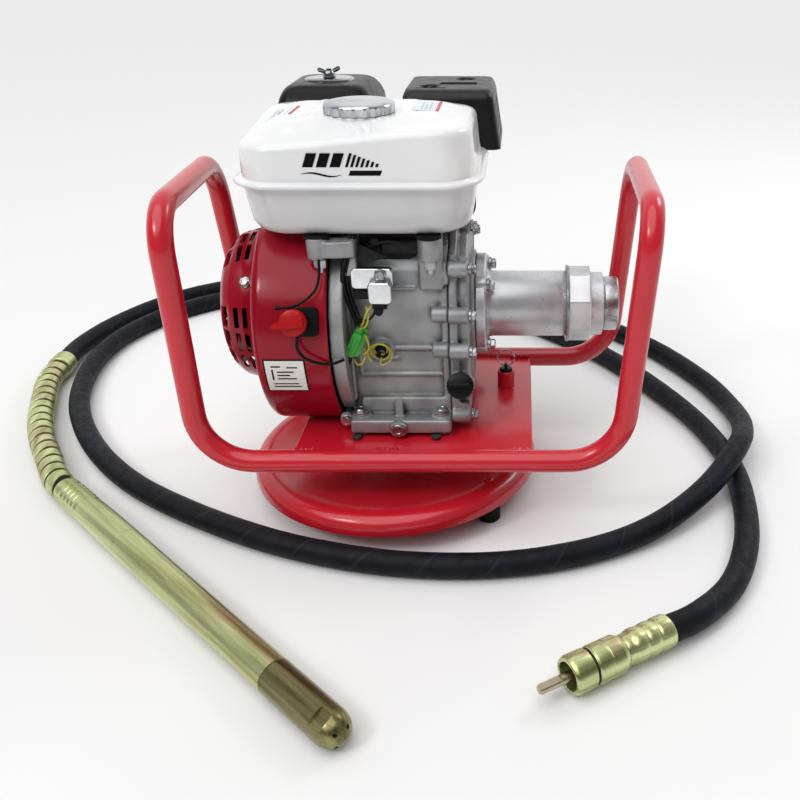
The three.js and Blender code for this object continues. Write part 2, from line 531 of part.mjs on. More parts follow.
// ---------------------------------------------------------------- flexible shaft and poker
function addFlexibleShaft() {
  add('flexible_hose', tubeAlong(HOSE_ROUTE, HOSE_R, 8, HOSE_STEPS), hoseRubber, hoseSet);

  const drive = new THREE.Group();
  drive.position.set(COUPLING.x, COUPLING.y, COUPLING.z);
  drive.rotation.z = COUPLING.angle;
  hoseSet.add(drive);
  const crimp = [[0, 0], [14, 0], [15.2, 4], [15.2, 10], [13.8, 13], [15.2, 17], [15.2, 23], [13.8, 26], [15.2, 30],
    [15.2, 36], [13.6, 40], [13.6, 47], [0, 47]];
  add('coupling_ferrule', turnedX(crimp, 0, 0, 12), yellowZinc, drive);
  const mouth = [[0, 47.3], [14, 47.3], [16.8, 52], [16.8, 76], [15, 78], [15, 82], [16.8, 84], [16.8, 98], [15.5, 101],
    [12.5, 101], [12.5, 76], [0, 76]];
  add('coupling_body', turnedX(mouth, 0, 0, 16), yellowZinc, drive);
  add('drive_tip', turnedX([[0, 76.4], [4.4, 76.4], [4.4, 127], [3.4, 129], [0, 129]], 0, 0, 8), steel, drive);

  const collar = new THREE.Group();
  collar.position.set(-526.5, 247.3, 16);
  collar.rotation.z = THREE.MathUtils.degToRad(93);
  hoseSet.add(collar);
  const bead = [[0, 0], [14.6, 0], [15.6, 3], [15.6, 9], [14.4, 12], [15.6, 16], [15.2, 25], [13.6, 27.4], [0, 27.4]];
  add('guard_collar', turnedX(bead, 0, 0, 12), yellowZinc, collar);
  add('spring_guard', tubeAlong(GUARD_ROUTE, GUARD_R, 10, 12), yellowZinc, hoseSet);

  const poker = new THREE.Group();
  poker.position.set(POKER.x, POKER.y, POKER.z);
  poker.rotation.z = POKER.angle;
  hoseSet.add(poker);
  const ferrule = [[0, 0], [14, 0], [15, 6], [14.4, 12], [15.2, 18], [14.4, 24], [15.2, 30], [14.4, 36], [15.2, 42],
    [14.6, 48], [15.4, 62], [16, 110], [16, 138.5], [0, 138.5]];
  add('poker_ferrule', turnedX(ferrule, 0, 0, 12), yellowZinc, poker);
  const casing = [[12.6, 138.8], [16, 138.8], [16, 394], [12.6, 394], [12.6, 138.8]];
  add('poker_casing', turnedX(casing, 0, 0, 48), yellowZinc, poker);
  const nose = [0.2, 0.4, 0.6, 0.8, 1, 1.2, 1.4].map((a) => [16 * Math.cos(a), 467 + 19 * Math.sin(a)]);
  const cap = turnedX([[0, 394.3], [15.4, 394.3], [16, 394.9], [16, 467], ...nose, [0, 486]], 0, 0, 40);
  const flats = [30, 210].map((turn) => box(461, 474, -20, 20, 13.2, 20).rotateX(THREE.MathUtils.degToRad(turn)));
  const vents = [45, 135, 225, 315].map((turn) =>
    rodX(1.6, 477, 490, 8.4, 0, 8).rotateX(THREE.MathUtils.degToRad(turn)));
  add('poker_cap', cut(cap, ...flats, ...vents), yellowZinc, poker);
  const journal = rodX(4.5, 146, 388, 0, 0, 12);
  const mass = extrudeX(Array.from({ length: 13 }, (_, i) => {
    const angle = Math.PI * i / 12;
    return [11.4 * Math.cos(angle), 11.4 * Math.sin(angle) - 1];
  }), 176, 360);
  add('eccentric_rotor', join(journal, mass), steel, poker);
}

addBase();
addFrame();
addLockPin();
addCrankcase();
addSideCover();
addCylinder();
addIntake();
addExhaust();
addShroud();
addAdapter();
addTank();
addElectrics();
addFlexibleShaft();

// The origin is the middle of the machine's footprint, at ground level.
root.updateMatrixWorld(true);
const footprint = new THREE.Box3().setFromObject(machine).getCenter(new THREE.Vector3());
root.position.set(-footprint.x, -footprint.y, 0);
root.updateMatrixWorld(true);

export default root;
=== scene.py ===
"""A concrete vibrator: an engine on a swivelling tube frame, its flexible shaft and poker laid round it."""

import math
import random

import bmesh
import bpy
import numpy as np
from mathutils import Matrix, Vector


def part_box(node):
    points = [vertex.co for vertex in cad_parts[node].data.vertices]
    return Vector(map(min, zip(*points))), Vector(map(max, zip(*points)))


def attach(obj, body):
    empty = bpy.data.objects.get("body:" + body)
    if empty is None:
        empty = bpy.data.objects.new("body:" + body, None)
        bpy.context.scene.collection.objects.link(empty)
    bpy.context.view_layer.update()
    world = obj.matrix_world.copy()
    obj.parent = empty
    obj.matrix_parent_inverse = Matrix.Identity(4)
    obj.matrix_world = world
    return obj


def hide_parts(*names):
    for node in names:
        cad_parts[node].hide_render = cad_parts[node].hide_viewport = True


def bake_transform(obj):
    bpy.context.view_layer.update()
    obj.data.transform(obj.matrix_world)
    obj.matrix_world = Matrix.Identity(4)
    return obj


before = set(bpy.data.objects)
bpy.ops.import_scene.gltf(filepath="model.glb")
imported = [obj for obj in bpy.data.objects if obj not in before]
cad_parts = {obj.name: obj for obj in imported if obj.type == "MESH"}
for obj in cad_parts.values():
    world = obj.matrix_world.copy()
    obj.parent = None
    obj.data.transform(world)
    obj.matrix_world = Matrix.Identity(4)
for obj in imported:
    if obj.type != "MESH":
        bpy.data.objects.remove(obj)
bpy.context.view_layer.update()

# ---------------------------------------------------------------- design frame
# Everything below is in millimetres in the design frame: +Z up, +X to the drive end, -Y to the front.
# ROW turns it into metres in the row frame; the swivel disc tells where the two frames lie to each other.
SWIVEL = Vector((-32, 0, 0))
disc_low, disc_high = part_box("swivel_disc")
disc_middle = (disc_low + disc_high) / 2
SHIFT = Vector((disc_middle.x - SWIVEL.x / 1000, disc_middle.y - SWIVEL.y / 1000, 0))
ROW = Matrix.Translation(SHIFT) @ Matrix.Scale(0.001, 4)

TUBE_R = 11
RAIL_Y = 120
RAIL_Z = 93
FOOT_CIRCLE = 132
PIN = Vector((89, 36, 0))
FOOT_BOLTS = [(x, y) for x in (-55, 26) for y in (-68, 94)]
STUD = (-104, 173)
CRANK_Y = 20
CRANK_Z = 201
SHROUD_Y = 14
SHROUD_Z = 194
SHROUD_R = 110
CAP = Vector((-42, -12, 0))
HOSE_R = 12.5
GUARD_R = 14.5
POKER = Vector((-379, -56, 16.4))
POKER_TURN = -43.25
COUPLING = Vector((229, -274, 17.6))
COUPLING_TURN = 211.8
COLLAR = Vector((-526.5, 247.3, 16))
COLLAR_TURN = 93

HOSE_ROUTE = [
    (229.9, -273.4, 17.6), (257, -256.6, 16.8), (297, -213, 13.5), (323, -158, 13), (339, -88, 13),
    (343, 0, 13), (326, 88, 13), (287, 185, 13), (224, 296, 13), (135, 400, 13),
    (20, 497, 13), (-105, 556, 13), (-235, 568, 13), (-350, 533, 13), (-435, 465, 13),
    (-482, 375, 13), (-490, 285, 13), (-463, 165, 13), (-405, 60, 13), (-325, -29, 13),
    (-225, -98, 13), (-110, -152, 13), (10, -178, 13), (125, -171, 13.5), (225, -130, 15),
    (298, -70, 27), (345, -4, 39.5), (367, 62, 28), (371, 130, 15.5), (350, 215, 13.5),
    (288, 333, 13), (192, 440, 13), (75, 535, 13), (-60, 600, 13), (-200, 622, 13),
    (-330, 597, 13), (-440, 533, 13), (-508, 425, 13.5), (-530.3, 320.5, 15.6), (-528, 275.6, 16),
]
GUARD_ROUTE = [
    (-526.45, 246.7, 16), (-525.3, 225, 16), (-518, 193, 15.6), (-504, 155, 15.4), (-484, 104, 15.4),
    (-458, 54, 15.4), (-427, 6, 15.6), (-408, -24, 16), (-394, -41.9, 16.4), (-379.4, -55.6, 16.4),
]

scatter = random.Random(7)


# ---------------------------------------------------------------- camera
def make_camera():
    data = bpy.data.cameras.new("camera")
    data.lens = 40.46
    data.sensor_width = 36
    data.shift_x = -0.151
    data.clip_start = 0.05
    data.clip_end = 60
    camera = bpy.data.objects.new("camera", data)
    camera.location = ROW @ Vector((105.5, -863, 548))
    camera.rotation_euler = (math.radians(62.4), 0, 0)
    bpy.context.scene.collection.objects.link(camera)
    bpy.context.scene.camera = camera


# ---------------------------------------------------------------- places
def at(x, y, z):
    return Matrix.Translation((x, y, z))


def spun(degrees, axis="Z"):
    return Matrix.Rotation(math.radians(degrees), 4, axis)


def facing_front(x, y, z):
    """Local X and Y run along design X and Z, and local Z points to the front."""
    return at(x, y, z) @ spun(90, "X")


def facing_back(x, y, z):
    return at(x, y, z) @ spun(180) @ spun(90, "X")


def facing_drive(x, y, z):
    """Local X and Y run along design Y and Z, and local Z points to the drive end, +X."""
    return at(x, y, z) @ Matrix(((0, 0, 1, 0), (1, 0, 0, 0), (0, 1, 0, 0), (0, 0, 0, 1)))


def lying(origin, turn):
    """Local Z lies along the ground, turned from +X by that many degrees."""
    return at(*origin) @ spun(turn) @ facing_drive(0, 0, 0)


SIDEWAYS = facing_drive(0, 0, 0)
ON_CRANK = facing_drive(0, CRANK_Y, CRANK_Z)
UPSIDE_DOWN = spun(180, "X")


# ---------------------------------------------------------------- lines and outlines
def eased(points, radius, steps=3, closed=False):
    """The same corners, each cut back and rounded."""
    points = [Vector(p) for p in points]
    count = len(points)
    made = []
    for i, p in enumerate(points):
        if not closed and i in (0, count - 1):
            made.append(p)
            continue
        before, after = points[i - 1], points[(i + 1) % count]
        start = p + (before - p).normalized() * min(radius, (before - p).length * 0.49)
        end = p + (after - p).normalized() * min(radius, (after - p).length * 0.49)
        for k in range(steps + 1):
            t = k / steps
            made.append(start * (1 - t) ** 2 + p * 2 * t * (1 - t) + end * t * t)
    return made


def rounded_rectangle(x0, x1, y0, y1, radius, steps=8):
    """An outline with that many steps round each corner."""
    corners = [(x1 - radius, y1 - radius, 0), (x0 + radius, y1 - radius, 90),
               (x0 + radius, y0 + radius, 180), (x1 - radius, y0 + radius, 270)]
    made = []
    for cx, cy, start in corners:
        for k in range(steps + 1):
            angle = math.radians(start + 90 * k / steps)
            made.append(Vector((cx + radius * math.cos(angle), cy + radius * math.sin(angle))))
    return made


def circle(radius, count):
    """An outline whose first point lies half a step round from +X."""
    angles = [math.tau * (k + 0.5) / count for k in range(count)]
    return [Vector((radius * math.cos(a), radius * math.sin(a))) for a in angles]


def through(points, steps):
    """A centripetal curve through all the points."""
    points = [Vector(p) for p in points]
    padded = [points[0] * 2 - points[1], *points, points[-1] * 2 - points[-2]]
    made = []
    for i in range(1, len(padded) - 2):
        p0, p1, p2, p3 = padded[i - 1:i + 3]
        t1 = (p1 - p0).length ** 0.5
        t2 = t1 + (p2 - p1).length ** 0.5
        t3 = t2 + (p3 - p2).length ** 0.5
        for k in range(steps):
            t = t1 + (t2 - t1) * k / steps
            a1 = p0.lerp(p1, t / t1)
            a2 = p1.lerp(p2, (t - t1) / (t2 - t1))
            a3 = p2.lerp(p3, (t - t2) / (t3 - t2))
            b1 = a1.lerp(a2, t / t2)
            b2 = a2.lerp(a3, (t - t1) / (t3 - t1))
            made.append(b1.lerp(b2, (t - t1) / (t2 - t1)))
    made.append(points[-1])
    return made


def evenly(points, step):
    """The same line with points about that far apart."""
    lengths = [0.0]
    for a, b in zip(points, points[1:]):
        lengths.append(lengths[-1] + (b - a).length)
    count = max(2, round(lengths[-1] / step))
    made, i = [], 0
    for k in range(count + 1):
        wanted = lengths[-1] * k / count
        while i + 2 < len(points) and lengths[i + 1] < wanted:
            i += 1
        share = (wanted - lengths[i]) / max(1e-9, lengths[i + 1] - lengths[i])
        made.append(points[i].lerp(points[i + 1], share))
    return made


def frames_along(points, closed=False):
    """For each point, the line's direction and two directions across it that don't twist."""
    count = len(points)
    ahead = []
    for i in range(count):
        a = points[i - 1] if i or closed else points[0]
        b = points[(i + 1) % count] if i + 1 < count or closed else points[-1]
        ahead.append((b - a).normalized())
    side = ahead[0].orthogonal().normalized()
    sides = [side]
    for i in range(1, count):
        side = (sides[-1] - ahead[i] * sides[-1].dot(ahead[i])).normalized()
        sides.append(side)
    if closed:
        last = (sides[-1] - ahead[0] * sides[-1].dot(ahead[0])).normalized()
        twist = math.atan2(last.cross(sides[0]).dot(ahead[0]), last.dot(sides[0]))
        sides = [Matrix.Rotation(twist * i / count, 3, ahead[i]) @ s for i, s in enumerate(sides)]
    return [(a, s, a.cross(s)) for a, s in zip(ahead, sides)]


# ---------------------------------------------------------------- solid parts, in local millimetres
def bridged(mesh, a, b):
    """Faces between two rings. A ring may be a single point."""
    count = max(len(a), len(b))
    for i in range(count):
        j = (i + 1) % count
        corners = list(dict.fromkeys((a[i % len(a)], a[j % len(a)], b[j % len(b)], b[i % len(b)])))
        if len(corners) > 2:
            mesh.faces.new(corners)


def turned(profile, sides=48):
    """A lathe part round local Z from (radius, height) points."""
    mesh = bmesh.new()
    points = [(p[0], p[1]) for p in profile]
    closed = math.dist(points[0], points[-1]) < 1e-4
    if closed:
        points.pop()
    rings = []
    for radius, height in points:
        if radius < 1e-6:
            rings.append([mesh.verts.new((0, 0, height))])
        else:
            rings.append([mesh.verts.new((p.x, p.y, height)) for p in circle(radius, sides)])
    for a, b in zip(rings, rings[1:] + ([rings[0]] if closed else [])):
        bridged(mesh, a, b)
    bmesh.ops.recalc_face_normals(mesh, faces=mesh.faces)
    return mesh


def stacked(loops):
    """A closed part through matching loops of points."""
    mesh = bmesh.new()
    rings = [[mesh.verts.new(p) for p in loop] for loop in loops]
    for a, b in zip(rings, rings[1:]):
        bridged(mesh, a, b)
    mesh.faces.new(rings[0])
    mesh.faces.new(rings[-1])
    bmesh.ops.recalc_face_normals(mesh, faces=mesh.faces)
    return mesh


def raised(outline, z):
    return [Vector((p[0], p[1], z)) for p in outline]


def scaled_stack(outline, *levels):
    """A part whose outline is scaled by each level's share at its height, from (height, share) levels."""
    return stacked([raised([(p[0] * share, p[1] * share) for p in outline], z) for z, share in levels])


def prism(outline, z0, z1, bevel=0.0, segments=2):
    mesh = stacked([raised(outline, z) for z in (z0, z1)])
    return bevelled(mesh, bevel, segments)


def bevelled(mesh, bevel, segments=2):
    """The same part with its sharp edges cut back."""
    if bevel > 0:
        sharp = [e for e in mesh.edges if len(e.link_faces) == 2 and e.calc_face_angle() > math.radians(28)]
        bmesh.ops.bevel(mesh, geom=sharp, offset=bevel, segments=segments, profile=0.6, affect="EDGES",
                        clamp_overlap=True)
    return mesh


def block(x0, x1, y0, y1, z0, z1, bevel=0.6, segments=2):
    return prism([(x0, y0), (x1, y0), (x1, y1), (x0, y1)], z0, z1, bevel, segments)


def rod(radius, z0, z1, bevel=0.6, sides=32):
    """A round bar along local Z."""
    b = min(bevel, radius * 0.4, (z1 - z0) * 0.4)
    profile = [(0, z0), (radius - b, z0), (radius - b * 0.3, z0 + b * 0.3), (radius, z0 + b)]
    profile += [(radius, z1 - b), (radius - b * 0.3, z1 - b * 0.3), (radius - b, z1), (0, z1)]
    return turned(profile, sides)


def swept(points, radius, sides=16, closed=False):
    """A tube along the points, with a UV map in metres. radius is a number or radius(distance, angle)."""
    mesh = bmesh.new()
    uv = mesh.loops.layers.uv.new("UVMap")
    wide = radius if callable(radius) else lambda distance, angle: radius
    rings, distances, distance = [], [], 0.0
    for i, (p, (_, side, other)) in enumerate(zip(points, frames_along(points, closed))):
        distance += (p - points[i - 1]).length if i else 0.0
        distances.append(distance)
        ring = []
        for k in range(sides):
            angle = math.tau * k / sides
            r = wide(distance, angle)
            ring.append(mesh.verts.new(p + side * (r * math.cos(angle)) + other * (r * math.sin(angle))))
        rings.append(ring)
    if closed:
        rings.append(rings[0])
        distances.append(distance + (points[0] - points[-1]).length)
    for n, (a, b) in enumerate(zip(rings, rings[1:])):
        for i in range(sides):
            j = (i + 1) % sides
            face = mesh.faces.new((a[i], a[j], b[j], b[i]))
            rows = (n, n, n + 1, n + 1)
            turns = (i, i + 1, i + 1, i)
            for loop, row, turn in zip(face.loops, rows, turns):
                loop[uv].uv = (distances[row] / 1000, turn / sides)
    if not closed:
        mesh.faces.new(rings[0])
        mesh.faces.new(rings[-1])
    bmesh.ops.recalc_face_normals(mesh, faces=mesh.faces)
    return mesh


def wire(points, radius, sides=10, steps=8):
    return swept(through(points, steps), radius, sides)


def placed(part, place):
    part.transform(place)
    return part


def lathe(profile, softness, sides):
    """A lathe part with rounded corners."""
    return turned(eased(profile, softness, 2), sides)


def lathe_ring(profile, softness, sides):
    """A lathe part with a hole through it, whose profile closes on its first point."""
    return turned(eased(profile, softness, 2) + [profile[0]], sides)


def bore(radius, z0, z1, sides, place):
    """A cutter for a round hole."""
    return placed(rod(radius, z0, z1, 0.1, sides), place)


def hexagon(across, z0, z1, bevel):
    return prism(circle(across / math.sqrt(3), 6), z0, z1, bevel)


class Shape:
    """Parts gathered into one mesh, in design millimetres."""

    def __init__(self, part=None, place=None):
        self.mesh = bmesh.new()
        if part is not None:
            self.add(part, place)

    def add(self, part, place=None):
        if place is not None:
            part.transform(place)
            if place.determinant() < 0:
                bmesh.ops.reverse_faces(part, faces=part.faces)
        carried = bpy.data.meshes.new("carried")
        part.to_mesh(carried)
        part.free()
        self.mesh.from_mesh(carried)
        bpy.data.meshes.remove(carried)
        return self

    def through(self, *modifiers):
        """The same mesh put through modifiers, each given as (type, {setting: value})."""
        held = bpy.data.meshes.new("held")
        self.mesh.to_mesh(held)
        self.mesh.free()
        obj = bpy.data.objects.new("held", held)
        bpy.context.scene.collection.objects.link(obj)
        for kind, settings in modifiers:
            modifier = obj.modifiers.new(kind.lower(), kind)
            for key, value in settings.items():
                setattr(modifier, key, value)
        bpy.context.view_layer.update()
        shown = obj.evaluated_get(bpy.context.evaluated_depsgraph_get())
        made = bpy.data.meshes.new_from_object(shown)
        self.mesh = bmesh.new()
        self.mesh.from_mesh(made)
        for waste in (made, held):
            bpy.data.meshes.remove(waste)
        return self

    def cut(self, *parts):
        """Takes each part away from this shape."""
        tools = []
        for part in parts:
            held = bpy.data.meshes.new("tool")
            part.to_mesh(held)
            part.free()
            tools.append(bpy.data.objects.new("tool", held))
            bpy.context.scene.collection.objects.link(tools[-1])
        how = {"operation": "DIFFERENCE", "solver": "EXACT"}
        self.through(*(("BOOLEAN", {**how, "object": tool}) for tool in tools))
        for tool in tools:
            bpy.data.meshes.remove(tool.data)
        return self

    def cast(self, voxel=1.25, rounds=3):
        """Melts the parts into one casting with soft inner and outer corners."""
        return self.through(
            ("REMESH", {"mode": "VOXEL", "voxel_size": voxel, "use_smooth_shade": True}),
            ("SMOOTH", {"factor": 0.5, "iterations": rounds}),
        )


def read_rows(items, key, width, kind=float):
    values = np.empty(len(items) * width, kind)
    items.foreach_get(key, values)
    return values.reshape(-1, width)


def recess_depth(mesh):
    """How far each point sits in a hollow, 0 to 1, for the painted shade that darkens a casting's hollows.
    """
    spreads, gain = 6, 9
    count = len(mesh.vertices)
    co = read_rows(mesh.vertices, "co", 3)
    normal = read_rows(mesh.vertices, "normal", 3)
    a, b = read_rows(mesh.edges, "vertices", 2, int).T
    step = co[b] - co[a]
    step /= np.maximum(1e-12, np.linalg.norm(step, axis=1))[:, None]
    total = np.zeros(count)
    degree = np.maximum(1, np.bincount(a, minlength=count) + np.bincount(b, minlength=count))
    np.add.at(total, a, (normal[a] * step).sum(1))
    np.add.at(total, b, -(normal[b] * step).sum(1))
    depth = total / degree
    for _ in range(spreads):
        spread = np.zeros(count)
        np.add.at(spread, a, depth[b])
        np.add.at(spread, b, depth[a])
        depth = 0.4 * depth + 0.6 * spread / degree
    return np.clip(depth * gain, 0, 1)


def piece(name, shape, material, body, stands_for=(), sharp=35, shade_hollows=False):
    """Makes the shape a shown piece in the row frame, riding on a CAD body."""
    mesh = bpy.data.meshes.new(name)
    shape.mesh.transform(ROW)
    shape.mesh.to_mesh(mesh)
    shape.mesh.free()
    mesh.shade_smooth()
    mesh.set_sharp_from_angle(angle=math.radians(sharp))
    # The depth of each point in a hollow is kept for the castings' painted shade.
    if shade_hollows:
        attribute = mesh.attributes.new("hollow_shade", "FLOAT", "POINT")
        attribute.data.foreach_set("value", recess_depth(mesh).astype(np.float32))
    mesh.materials.append(material)
    obj = bpy.data.objects.new(name, mesh)
    bpy.context.scene.collection.objects.link(obj)
    if body:
        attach(obj, body)
    if stands_for:
        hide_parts(*stands_for)
    return obj


def dress(node, material, bevel=0.6):
    """A CAD node that stays gets its finish and softer edges."""
    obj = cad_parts[node]
    obj.data.materials.clear()
    obj.data.materials.append(material)
    for name in ("custom_normal", "sharp_edge"):
        if name in obj.data.attributes:
            obj.data.attributes.remove(obj.data.attributes[name])
    obj.data.shade_smooth()
    weld = obj.modifiers.new("weld", "WELD")
    weld.merge_threshold = 1e-5
    soft = obj.modifiers.new("soft_edges", "BEVEL")
    soft.width = bevel / 1000
    soft.segments = 2
    soft.limit_method = "ANGLE"
    soft.angle_limit = math.radians(30)
    soft.harden_normals = True


# ---------------------------------------------------------------- materials
def srgb(red, green, blue):
    """A colour seen as 0 to 255, as the linear values that a shader takes."""
    def linear(v):
        v /= 255
        return v / 12.92 if v <= 0.04045 else ((v + 0.055) / 1.055) ** 2.4
    return (linear(red), linear(green), linear(blue), 1)


class Finish:
    """A procedural material: a mottled colour, an uneven gloss and a fine relief."""

    def __init__(self, name, metallic=0.0, turn=0.0, stretch=(1, 1, 1), **sockets):
        self.material = bpy.data.materials.new(name)
        self.material.use_nodes = True
        self.tree = self.material.node_tree
        self.shader = self.tree.nodes["Principled BSDF"]
        self.shader.inputs["Metallic"].default_value = metallic
        for socket, value in sockets.items():
            self.shader.inputs[socket.replace("_", " ")].default_value = value
        place = self.node("ShaderNodeTexCoord")
        mapping = self.node("ShaderNodeMapping")
        mapping.vector_type = "TEXTURE"
        mapping.inputs["Rotation"].default_value[2] = math.radians(turn)
        mapping.inputs["Scale"].default_value = [1 / share for share in stretch]
        self.link(place.outputs["Object"], mapping.inputs["Vector"])
        self.where = mapping.outputs["Vector"]
        self.plain = place.outputs["Object"]
        self.uv = place.outputs["UV"]
        self.relief = None

    def node(self, kind, **settings):
        made = self.tree.nodes.new(kind)
        for key, value in settings.items():
            setattr(made, key, value)
        return made

    def link(self, a, b):
        self.tree.links.new(a, b)

    def noise(self, scale, detail=3.0, where=None):
        made = self.node("ShaderNodeTexNoise")
        made.inputs["Scale"].default_value = scale
        made.inputs["Detail"].default_value = detail
        made.inputs["Roughness"].default_value = 0.55
        self.link(where or self.where, made.inputs["Vector"])
        return made.outputs["Fac"]

    def ramp(self, value, *stops):
        """Colours, or grey levels, at places from 0 to 1."""
        made = self.node("ShaderNodeValToRGB")
        elements = made.color_ramp.elements
        while len(elements) < len(stops):
            elements.new(0.5)
        for element, (position, colour) in zip(elements, stops):
            element.position = position
            element.color = colour if hasattr(colour, "__len__") else (colour, colour, colour, 1)
        self.link(value, made.inputs["Fac"])
        return made.outputs["Color"]

    def blend(self, share, a, b):
        made = self.node("ShaderNodeMix", data_type="RGBA")
        self.link(share, made.inputs["Factor"])
        for value, socket in ((a, "A"), (b, "B")):
            socket = [s for s in made.inputs if s.name == socket and s.type == "RGBA"][0]
            if isinstance(value, bpy.types.NodeSocket):
                self.link(value, socket)
            else:
                socket.default_value = value
        return [s for s in made.outputs if s.type == "RGBA"][0]

    def colour(self, value):
        self.link(value, self.shader.inputs["Base Color"])
        return self

    def gloss(self, low, high, scale):
        made = self.ramp(self.noise(scale, 4), (0.3, low), (0.7, high))
        self.link(made, self.shader.inputs["Roughness"])
        return self

    def bump(self, height, strength, distance):
        made = self.node("ShaderNodeBump")
        made.inputs["Strength"].default_value = strength
        made.inputs["Distance"].default_value = distance
        self.link(height, made.inputs["Height"])
        if self.relief:
            self.link(self.relief, made.inputs["Normal"])
        self.relief = made.outputs["Normal"]
        self.link(self.relief, self.shader.inputs["Normal"])
        return self


def sprayed(made):
    """The faint orange peel and waviness of sprayed paint."""
    made.bump(made.noise(420, 2), 0.05, 0.0004)
    made.bump(made.noise(26, 2), 0.05, 0.002)
    return made.material


def paint(name, light, dark, low, high, **sockets):
    made = Finish(name, **sockets)
    made.colour(made.ramp(made.noise(9, 4), (0.32, srgb(*dark)), (0.68, srgb(*light))))
    made.gloss(low, high, 70)
    return sprayed(made)


def tank_paint():
    """Gloss white on the tank, with painted shade: greyer below the seam, where the lower pressing faces a
    little downwards.
    """
    made = Finish("white_paint", Coat_Weight=0.5, Coat_Roughness=0.08)
    height = made.node("ShaderNodeSeparateXYZ")
    made.link(made.plain, height.inputs["Vector"])
    seam, fade = 0.345, 0.002
    above = made.ramp(height.outputs["Z"], (seam - fade, 0.0), (seam + fade, 1.0))
    cloud = made.noise(9, 4)
    upper = made.ramp(cloud, (0.32, srgb(228, 229, 231)), (0.68, srgb(240, 240, 240)))
    # Painted shade: below the seam the white is greyer, standing for the shade on the lower walls.
    lower = made.ramp(cloud, (0.32, srgb(204, 205, 207)), (0.68, srgb(214, 214, 215)))
    made.colour(made.blend(above, lower, upper))
    made.gloss(0.16, 0.26, 70)
    return sprayed(made)


def casting(name, light, dark, shade_colour, low=0.42, high=0.6, grain=0.28, metallic=0.85):
    made = Finish(name, metallic=metallic)
    base = made.ramp(made.noise(30, 6), (0.3, srgb(*dark)), (0.7, srgb(*light)))
    # Painted shade: hollows darken towards the dark colour by their depth, in patches set by noise.
    hollow = made.node("ShaderNodeAttribute", attribute_name="hollow_shade").outputs["Fac"]
    patchy_shade = made.node("ShaderNodeMath", operation="MULTIPLY")
    made.link(hollow, patchy_shade.inputs[0])
    made.link(made.ramp(made.noise(90, 5), (0.25, 0.35), (0.65, 1.0)), patchy_shade.inputs[1])
    made.colour(made.blend(patchy_shade.outputs[0], base, srgb(*shade_colour)))
    made.gloss(low, high, 120)
    made.bump(made.noise(900, 3), grain, 0.0005)
    made.bump(made.noise(150, 3), grain * 0.5, 0.0008)
    return made.material


def metal(name, light, dark, low, high, grain=0.06, scale=40):
    made = Finish(name, metallic=1.0)
    made.colour(made.ramp(made.noise(scale, 5), (0.3, srgb(*dark)), (0.72, srgb(*light))))
    made.gloss(low, high, scale * 3)
    made.bump(made.noise(scale * 12, 3), grain, 0.0004)
    return made.material


def yellow_zinc(name, turn, dull=False, low=0.2, high=0.36):
    """Yellow passivated zinc: green gold that drifts to pink and brown in long streaks."""
    made = Finish(name, metallic=0.88, turn=turn, stretch=(0.05, 1, 1))
    gold, olive, pink = srgb(214, 218, 164), srgb(150, 154, 94), srgb(198, 170, 140)
    if dull:
        gold, olive, pink = srgb(152, 146, 100), srgb(86, 82, 52), srgb(134, 116, 100)
    streaks = made.ramp(made.noise(110, 4), (0.34, olive), (0.62, gold))
    drift = made.ramp(made.noise(20, 3, made.plain), (0.54, 0.0), (0.72, 0.7))
    made.colour(made.blend(drift, streaks, pink))
    made.gloss(low, high, 160)
    made.bump(made.noise(300, 3), 0.10, 0.0005)
    made.bump(made.noise(700, 2, made.plain), 0.04, 0.0004)
    return made.material


def moulded(name, light, dark, low, high, grain=0.12, scale=1100, **sockets):
    made = Finish(name, **sockets)
    made.colour(made.ramp(made.noise(40, 4), (0.35, srgb(*dark)), (0.7, srgb(*light))))
    made.gloss(low, high, 90)
    made.bump(made.noise(scale, 2), grain, 0.0003)
    return made.material


def wrapped_hose():
    """Black rubber cured under a cloth tape: a fine weave, and a faint spiral at the edges of the tape."""
    made = Finish("hose_rubber", Specular_IOR_Level=0.2)
    spiral = made.node("ShaderNodeMapping")
    spiral.inputs["Scale"].default_value = (16, 1, 1)
    made.link(made.uv, spiral.inputs["Vector"])
    wave = made.node("ShaderNodeTexWave", wave_type="BANDS", bands_direction="DIAGONAL", wave_profile="SAW")
    wave.inputs["Scale"].default_value = math.tau / 10
    wave.inputs["Distortion"].default_value = 0.6
    wave.inputs["Detail"].default_value = 2
    made.link(spiral.outputs["Vector"], wave.inputs["Vector"])
    cloth = made.ramp(made.noise(34, 5), (0.34, srgb(3, 4, 7)), (0.72, srgb(20, 22, 34)))
    edge = made.ramp(wave.outputs["Fac"], (0.0, 0.75), (0.05, 0.0), (0.9, 0.0))
    made.colour(made.blend(edge, cloth, srgb(40, 42, 54)))
    made.gloss(0.46, 0.68, 130)
    made.bump(wave.outputs["Fac"], 0.22, 0.0012)
    made.bump(made.noise(170, 4), 0.25, 0.0012)
    made.bump(made.noise(1400, 2), 0.35, 0.0003)
    return made.material


